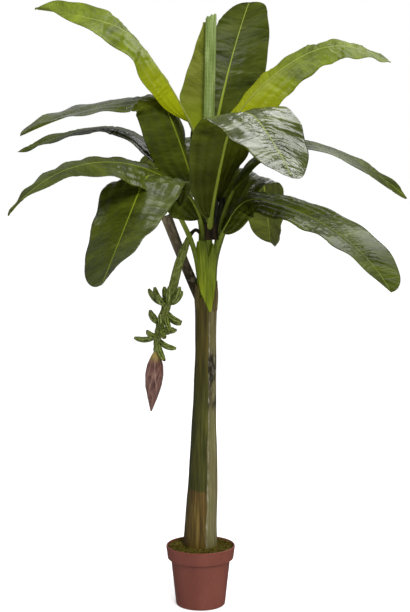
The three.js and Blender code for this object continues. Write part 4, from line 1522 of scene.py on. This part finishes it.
# %% [markdown]
# ## The skin of the blade
#
# In outline the blade is plain: round at the base, widest at a third of its length and blunt at
# the tip. The grid is spaced closer at both ends, where the outline turns fastest. Each half is
# tilted by its fold, the relief stands square on it, and the rule of the bend lays both out in
# space. Its UV map runs along the side veins, so that patterns on it follow them.

# %% Blade skin
BLADE_WIDEST = 0.32
BLADE_END_POWER = 0.55
BLADE_STEPS = 250
BLADE_COLUMNS = 36
BLADE_EVENNESS = 0.55
TIP_HALF_WIDTH = 1.0
TIP_STRAIGHT = (0.4, 0.9)


def outline(leaf, t):
    """Share of the full half width at the share t of the blade."""
    before = 1 - np.clip(t / leaf["base"], 0, 1)
    past = np.clip((t - BLADE_WIDEST) / (1 - BLADE_WIDEST), 0, 1)
    rise = np.sqrt(np.clip(1 - before ** 2, 0, 1)) ** leaf["taper"]
    return rise * (1 - past ** leaf["blunt"]) ** BLADE_END_POWER


def blade_skin(leaf, spine, seed):
    def measures(u, v):
        """Share along the blade, share across it from -1 to 1, and its half width."""
        t = between(((1 - np.cos(np.pi * u)) / 2, u), BLADE_EVENNESS)
        return t, 2 * v - 1, np.maximum(leaf["half"] * outline(leaf, t), TIP_HALF_WIDTH)

    def shape(u, v):
        t, across, width = measures(u, v)
        left, right = (between(leaf[side], t) for side in ("left", "right"))
        fold = np.radians(np.where(across > 0, left, right))
        height = blade_relief(leaf, seed, t, across, width)
        offset = across * width * np.cos(fold) - np.sign(across) * height * np.sin(fold)
        lift = np.abs(across) * width * np.sin(fold) + height * np.cos(fold)
        straightened = offset * math.tan(spine["slant"]) * smooth_step(t, *TIP_STRAIGHT)
        run = leaf["stalk"] + t * leaf["blade"] * leaf["kept"] + leaf["straight_tip"] * straightened
        return on_leaf(spine, run, offset, lift)

    def metric(u, v):
        t, across, width = measures(u, v)
        run = t * leaf["blade"] - VEIN_SLANT * np.abs(across) * width
        return np.stack([run, across * width], axis=1) * MM

    return shaped_grid("blade", BLADE_STEPS, BLADE_COLUMNS, shape, metric)


print("Blade points:", (BLADE_STEPS + 1) * (BLADE_COLUMNS + 1))

# %% [markdown]
# ## Stalk and midrib
#
# The stalk is a trough, thick where it grips the crown, and it goes on as the leaf's midrib: a
# strong pale rib below the blade and a thin pale line on top, running out towards the tip. It
# is one tube along one line, first the curve from the crown to the blade, then the midrib. The
# stalks stand in two rings, one on the trunk's top and one on the core.

# %% Stalk and midrib shape
RING_RADIUS = {"outer": 26.5, "inner": 10}
RING_SEAT = {"outer": 1100.3, "inner": 1345.3}
STALK_EASE = 0.42
STALK_STEPS = 44
STALK_STATIONS = (0, 0.25, 0.65, 1)
STALK_HALF = {
    "front": (9, 13, 16, 12), "low_left": (9, 13, 13, 8), "low_right": (9, 13, 14, 9),
    "right": (9, 12, 13, 9), "back_right": (9, 12, 13, 9),
}
PLAIN_STALK_HALF = (8.5, 9.5, 9, 7.5)
STALK_RIM = 0.75
STALK_CHANNEL = 0.9
RIB_STEPS = 110
RIB_SIDES = 16
RIB_END = 0.985
RIB_HALF = (7.5, 1.6)
RIB_DEPTH = (6.5, 1.4)
RIB_TOP = 1.1


def ring_seat(ring, place):
    """Where a stalk stands, and the way outwards there."""
    outward = direction(place)
    return np.array([CORE_X, 0, RING_SEAT[ring]]) + RING_RADIUS[ring] * outward, outward


def stalk_line(leaf, spine):
    """Curve from the stalk's seat, straight up at first, into the direction of the blade."""
    foot, outward = ring_seat(leaf["ring"], leaf["place"])
    end, ahead, left = on_midrib(spine, leaf["stalk"])
    reach = np.linalg.norm(end - foot) * STALK_EASE
    share = np.linspace(0, 1, STALK_STEPS + 1)[:, None]
    line = (foot * (1 - share) ** 3 + 3 * (foot + [0, 0, reach]) * share * (1 - share) ** 2
            + 3 * (end - ahead * reach) * share ** 2 * (1 - share) + end * share ** 3)
    return line, between((-outward, np.cross(ahead, left)), share)


def midrib_tube(leaf, spine):
    line, ups = stalk_line(leaf, spine)
    shares = np.linspace(0, RIB_END, RIB_STEPS + 1)[1:]
    points, aheads, lefts = on_midrib(spine, leaf["stalk"] + shares * leaf["blade"] * leaf["kept"])
    line = np.vstack([line, points])
    ups = np.vstack([ups, np.cross(aheads, lefts)])
    ahead = unit(np.gradient(line, axis=0))
    ups = unit(ups - ahead * (ups * ahead).sum(axis=1, keepdims=True))
    blade_from = STALK_STEPS / (STALK_STEPS + RIB_STEPS)
    halves = STALK_HALF.get(leaf["name"], PLAIN_STALK_HALF)

    def section(share, angle):
        stalk = np.interp(share / blade_from, STALK_STATIONS, halves)
        rib = np.clip((share - blade_from) / (1 - blade_from), 0, 1) ** 0.8
        on_blade = smooth_step(share, blade_from - 0.05, blade_from + 0.05)
        half = between((stalk, between(RIB_HALF, rib)), on_blade)
        depth = between((stalk, between(RIB_DEPTH, rib)), on_blade)
        rim = between((STALK_RIM * stalk, RIB_TOP), on_blade)
        channel = between((STALK_CHANNEL * stalk, 0), on_blade)
        return trough(angle, half, depth, rim, channel)

    return swept("midrib", line, np.cross(ups, ahead), ups, RIB_SIDES, section)


print("Stalk and midrib rings:", STALK_STEPS + RIB_STEPS + 1)

# %% [markdown]
# ## Leaf finishes
#
# The upper side is printed dark green fabric with a satin coat that turns silver where it
# mirrors the studio. The underside is duller and yellower, and painted shade darkens it near
# the stalk. The print follows the side veins, so these finishes read the blade's own UV map,
# whose first axis counts along the veins' rhythm. Fine crinkles break up the mirrored light.
# They are faint on pressed patches and stronger beside the rib and at the tip.

# %% Leaf finishes
COAT_SPREAD = (-0.05, 0.08)


def along_blade(tree, low, high, to_low=0.0, to_high=1.0):
    """Value that changes between two shares of the blade's length."""
    return ramped(tree, attribute(tree, "along"), low, high, to_low, to_high)


def printed_colour(tree, colours, streaks, base):
    """Soft patches under fine streaks. A base colour tints the half next to the stalk."""
    dark, middle, light, streak = colours
    broad = noise(tree, "UV", 16, 4, 0.6, squeeze=(1, 0.35, 1))
    body = ramp(tree, broad, [(0.3, dark), (0.5, middle), (0.72, light)])
    body = overlaid(tree, body, streak, streaks, 0.5, 0.75, 0.35)
    # On the dark leaves' underside this base colour is painted shade near the crown.
    if base is None:
        return body
    return overlaid(tree, body, base, attribute(tree, "along"), 0.5, 0.22, 0.75)


def crinkles(tree):
    """Fine crinkles, faint on pressed patches, stronger beside the rib and at the tip."""
    fine = noise(tree, "UV", 44, 1.5, 0.5, 1.2, squeeze=(1, 0.4, 1))
    pressed = noise(tree, "UV", 7, 2)
    across = calculated(tree, "SUBTRACT", attribute(tree, "around"), 0.5)
    near_rib = ramped(tree, calculated(tree, "ABSOLUTE", across), 0.26, 0.06, 0, 0.65)
    by_rib = calculated(tree, "MULTIPLY", near_rib, along_blade(tree, 0.4, 0.65))
    stronger = calculated(tree, "MAXIMUM", by_rib, along_blade(tree, 0.8, 0.92, 0, 0.5))
    depth = calculated(tree, "MAXIMUM", ramped(tree, pressed, 0.42, 0.62, 0.02, 0.14), stronger)
    return calculated(tree, "MULTIPLY", ramped(tree, fine, 0.36, 0.64), depth)


def leaf_finish(name, colours, roughness, coat, crinkled, base=None, tip_gloss=1):
    """Print under a crinkled glossy coat. The tip keeps only its share of the gloss."""
    print_rough = roughness + 0.15
    tip_rough = roughness + 0.5 - 0.35 * tip_gloss
    material, tree, shader = new_finish(name, print_rough, 0.3 * coat * tip_gloss, coat, roughness)
    streaks = noise(tree, "UV", 210, 4, 0.6, squeeze=(1, 0.12, 1))
    folds = noise(tree, "UV", 17, 3, 0.5, 0.8, squeeze=(1, 0.55, 1))
    crinkle = crinkles(tree)
    values = {
        "Base Color": printed_colour(tree, colours, streaks, base),
        "Roughness": along_blade(tree, 0.5, 0.75, print_rough, tip_rough),
        "Coat Weight": along_blade(tree, 0.55, 0.85, coat, coat * tip_gloss),
        "Coat Roughness": ramped(tree, crinkle, 0, 0.3, *(roughness + s for s in COAT_SPREAD)),
        "Coat Normal": relief(tree, shader, (streaks, 0.4, 0.35), (folds, 5.5 * crinkled, 0.5),
                              (crinkle, 6 * crinkled, 0.8)),
    }
    for socket, value in values.items():
        tree.links.new(value, shader.inputs[socket])
    return material


def rib_finish(name, stalk_dark, stalk_light, dark, light):
    """Green where the tube is a stalk, pale where it runs on as the midrib."""
    material, tree, shader = new_finish(name, roughness=0.4, specular=0.3)
    streaks = noise(tree, "UV", 5, 4, squeeze=(4, 160, 1))
    stalk = ramp(tree, streaks, [(0.3, stalk_dark), (0.7, stalk_light)])
    rib = ramp(tree, streaks, [(0.3, dark), (0.7, light)])
    body = overlaid(tree, stalk, rib, attribute(tree, "along"), 0.2, 0.34)
    tree.links.new(body, shader.inputs["Base Color"])
    relief(tree, shader, (streaks, 0.5, 0.5))
    return material


print("Leaf finish rules ready")

# %% [markdown]
# ## The kinds of leaf
#
# Most leaves share the dark print. How much a leaf shines depends on how it hangs, so there are
# four kinds of coat: the glossy one, a creased and a satin one whose tips are dull, and a glazed
# one with shallow crinkles. The satin kind is also printed a little greyer. The two young leaves
# at the top are a bright yellow-green, and yellow at the base. Each kind lists its upper side,
# its underside and its rib, which are the first, second and third finish of a leaf's piece.

# %% Kinds of leaf
DARK_PRINT = ("#272e05", "#3d460a", "#545e16", "#636c2a")
SATIN_PRINT = ("#252c07", "#3a420c", "#4e5717", "#616a30")
UNDER_PRINT = ("#363b07", "#51590b", "#677019", "#757d2a")
YOUNG_PRINT = ("#3c4706", "#59670e", "#76841a", "#909c36")
YOUNG_UNDER_PRINT = ("#5c6608", "#747f0c", "#8c9616", "#a0a82c")

DARK_LEAF = [
    leaf_finish("leaf_upper_side", DARK_PRINT, 0.2, 0.8, 1.3),
    # The underside's darker base colour is painted shade at the crown, where the leaves crowd.
    leaf_finish("leaf_under_side", UNDER_PRINT, 0.34, 0.25, 0.8, base="#2f350a"),
    rib_finish("leaf_rib", "#404a07", "#657512", "#6a7910", "#93a030"),
]
CREASED_LEAF = [leaf_finish("leaf_creased_side", DARK_PRINT, 0.27, 0.65, 1.3, tip_gloss=0.2)]
GLAZED_LEAF = [leaf_finish("leaf_glazed_side", DARK_PRINT, 0.3, 0.75, 0.9)]
SATIN_LEAF = [leaf_finish("leaf_satin_side", SATIN_PRINT, 0.36, 0.45, 0.5, tip_gloss=0.1)]
for kind in (CREASED_LEAF, GLAZED_LEAF, SATIN_LEAF):
    kind.extend(DARK_LEAF[1:])
YOUNG_LEAF = [
    leaf_finish("young_upper_side", YOUNG_PRINT, 0.34, 0.26, 0.8, base="#a0a808", tip_gloss=0.5),
    leaf_finish("young_under_side", YOUNG_UNDER_PRINT, 0.4, 0.2, 0.6, base="#bec212"),
    rib_finish("young_rib", "#565c0c", "#7b8320", "#7d8430", "#a7ae5c"),
]
LEAF_FINISHES = {
    "low_right": CREASED_LEAF, "low_left": CREASED_LEAF, "left": CREASED_LEAF,
    "front_left": GLAZED_LEAF, "right": SATIN_LEAF, "top": SATIN_LEAF,
    "upper_left": YOUNG_LEAF, "upper_right": YOUNG_LEAF,
}
print("Leaves with a finish of their own:", len(LEAF_FINISHES))

# %% [markdown]
# ## Making the leaves
#
# Each blade gets its thickness from a Solidify modifier, which also gives the underside its own
# finish, and is then joined to its stalk and midrib. One leaf stands for the two solids that
# the frame splits it into at its bend. The leaf at the very top is a single solid.

# %% Making the leaves
BLADE_THICKNESS = 1.2
FIRST_SEED = 100


def thicken(sheet, underside=0):
    """Gives fabric its thickness. The underside's finish is so many further on in the list."""
    use_modifier(sheet, "SOLIDIFY", thickness=BLADE_THICKNESS * MM, offset=0,
                 material_offset=underside)


def make_leaf(number, leaf):
    spine = walk_midrib(leaf)
    blade = blade_skin(leaf, spine, FIRST_SEED + number)
    rib = midrib_tube(leaf, spine)
    sew(blade, close=False)
    finishes = LEAF_FINISHES.get(leaf["name"], DARK_LEAF)
    for part in (blade, rib):
        dress(part, *finishes)
    thicken(blade, underside=1)
    finish_faces(rib, lambda centre: 2)
    piece = joined(f"silk_leaf_{leaf['name']}", [blade, rib])
    solids = ["inner"] if leaf["name"] == "top" else ["inner", "outer"]
    slot = "young_green" if finishes is YOUNG_LEAF else "leaf_green"
    hand_over(piece, slot, *[f"leaf_{leaf['name']}_{solid}" for solid in solids])


for number, leaf in enumerate(LEAVES):
    make_leaf(number, leaf)

# %% [markdown]
# ## The rolled leaf
#
# In the middle the next leaf is still rolled up: a pale green cigar 42 mm thick, made of one
# sheet wound more than once round itself. It is a grid wound as a spiral that draws closer
# inwards, with a lifted outer edge and a ragged top.

# %% Rolled leaf
ROLL_PLACE = 278
ROLL_TOP = (38, -6, 2068)
ROLL_RADII = [(0, 5), (0.15, 12), (0.3, 18), (0.6, 20.5), (0.9, 20.5), (1, 19.5)]
ROLL_TURNS = 1.7
ROLL_CLOSING = 0.42
ROLL_START = 150
ROLL_RAGGED = 6
ROLL_EDGE_LIFT = 1.5
ROLL_SIZE = (0.72, 0.2)


def roll_shape(u, v):
    foot, _ = ring_seat("inner", ROLL_PLACE)
    centre = between((foot, np.array(ROLL_TOP)), u[:, None])
    angle = np.radians(ROLL_START) + 2 * np.pi * ROLL_TURNS * v
    ragged = ROLL_RAGGED * (np.sin(angle + 2) + 0.5 * np.sin(7 * angle) - 0.5)
    edge = waves(ROLL_EDGE_LIFT, u, 40) * bump(v, 0.03) * smooth_step(u, 0.2, 0.4)
    radius = eased(ROLL_RADII, u, 0.03) * (1 - ROLL_CLOSING * v) + edge
    radius = radius + waves(0.25, u, 300, 5 * v)
    return centre + upright(0, radius, angle, ragged * smooth_step(u, 0.92, 1))


def roll_metric(u, v):
    length, girth = ROLL_SIZE
    return np.stack([u * length, v * girth], axis=1)


ROLL_PRINT = ("#666e20", "#7f862c", "#939a3a", "#a1a850")
roll = shaped_grid("young_roll", 240, 90, roll_shape, roll_metric)
dress(roll, leaf_finish("roll_inside", ROLL_PRINT, 0.4, 0.2, 0.4),
      streaked_finish("roll_outside", "#56662a", "#7f9150", "#a3b47a", 0.42))
thicken(roll, underside=1)
smooth(roll)
hand_over(roll, "young_green", "leaf_young_roll")

# %% [markdown]
# ## The loose half
#
# The outer half of the youngest leaf already stands off the roll, to the left. It is a flat
# grid with a straight inner edge beside the roll and a waved outer margin.

# %% Loose half
FLAP_EDGE = 26
FLAP_HEIGHTS = (1560, 2048)
FLAP_WIDTHS = [(0, 0), (0.15, 22), (0.29, 56), (0.41, 90), (0.48, 100), (0.56, 88), (1, 16)]
FLAP_PLANE = 11
FLAP_BELLY = 6
FLAP_WAVE = 3.5
FLAP_CREASE = 0.8
FLAP_SIZE = (0.52, 0.09)
FLAP_SLANT = 0.03


def flap_shape(u, v):
    height = between(FLAP_HEIGHTS, u)
    width = eased(FLAP_WIDTHS, u, 0.03) + waves(1.2, u, 31) * smooth_step(u, 0, 0.2)
    depth = FLAP_PLANE - FLAP_BELLY * np.sin(np.pi * v / 2) + waves(FLAP_WAVE, u, 13, 1) * v ** 2
    depth = depth + waves(FLAP_CREASE, u, 60, 6 * v) * waves(1, u, 23) * v
    return np.stack([FLAP_EDGE - width * v, depth, height], axis=1)


def flap_metric(u, v):
    length, breadth = FLAP_SIZE
    return np.stack([u * length - v * FLAP_SLANT, v * breadth], axis=1)


FLAP_PRINT = ("#525814", "#6b7224", "#888e40", "#9a9e58")
flap = shaped_grid("young_flap", 170, 40, flap_shape, flap_metric)
dress(flap, leaf_finish("flap", FLAP_PRINT, 0.4, 0.15, 0.5, base="#8c9c06"))
thicken(flap)
sew(flap, close=False)
hand_over(flap, "young_green", "leaf_young_flap")
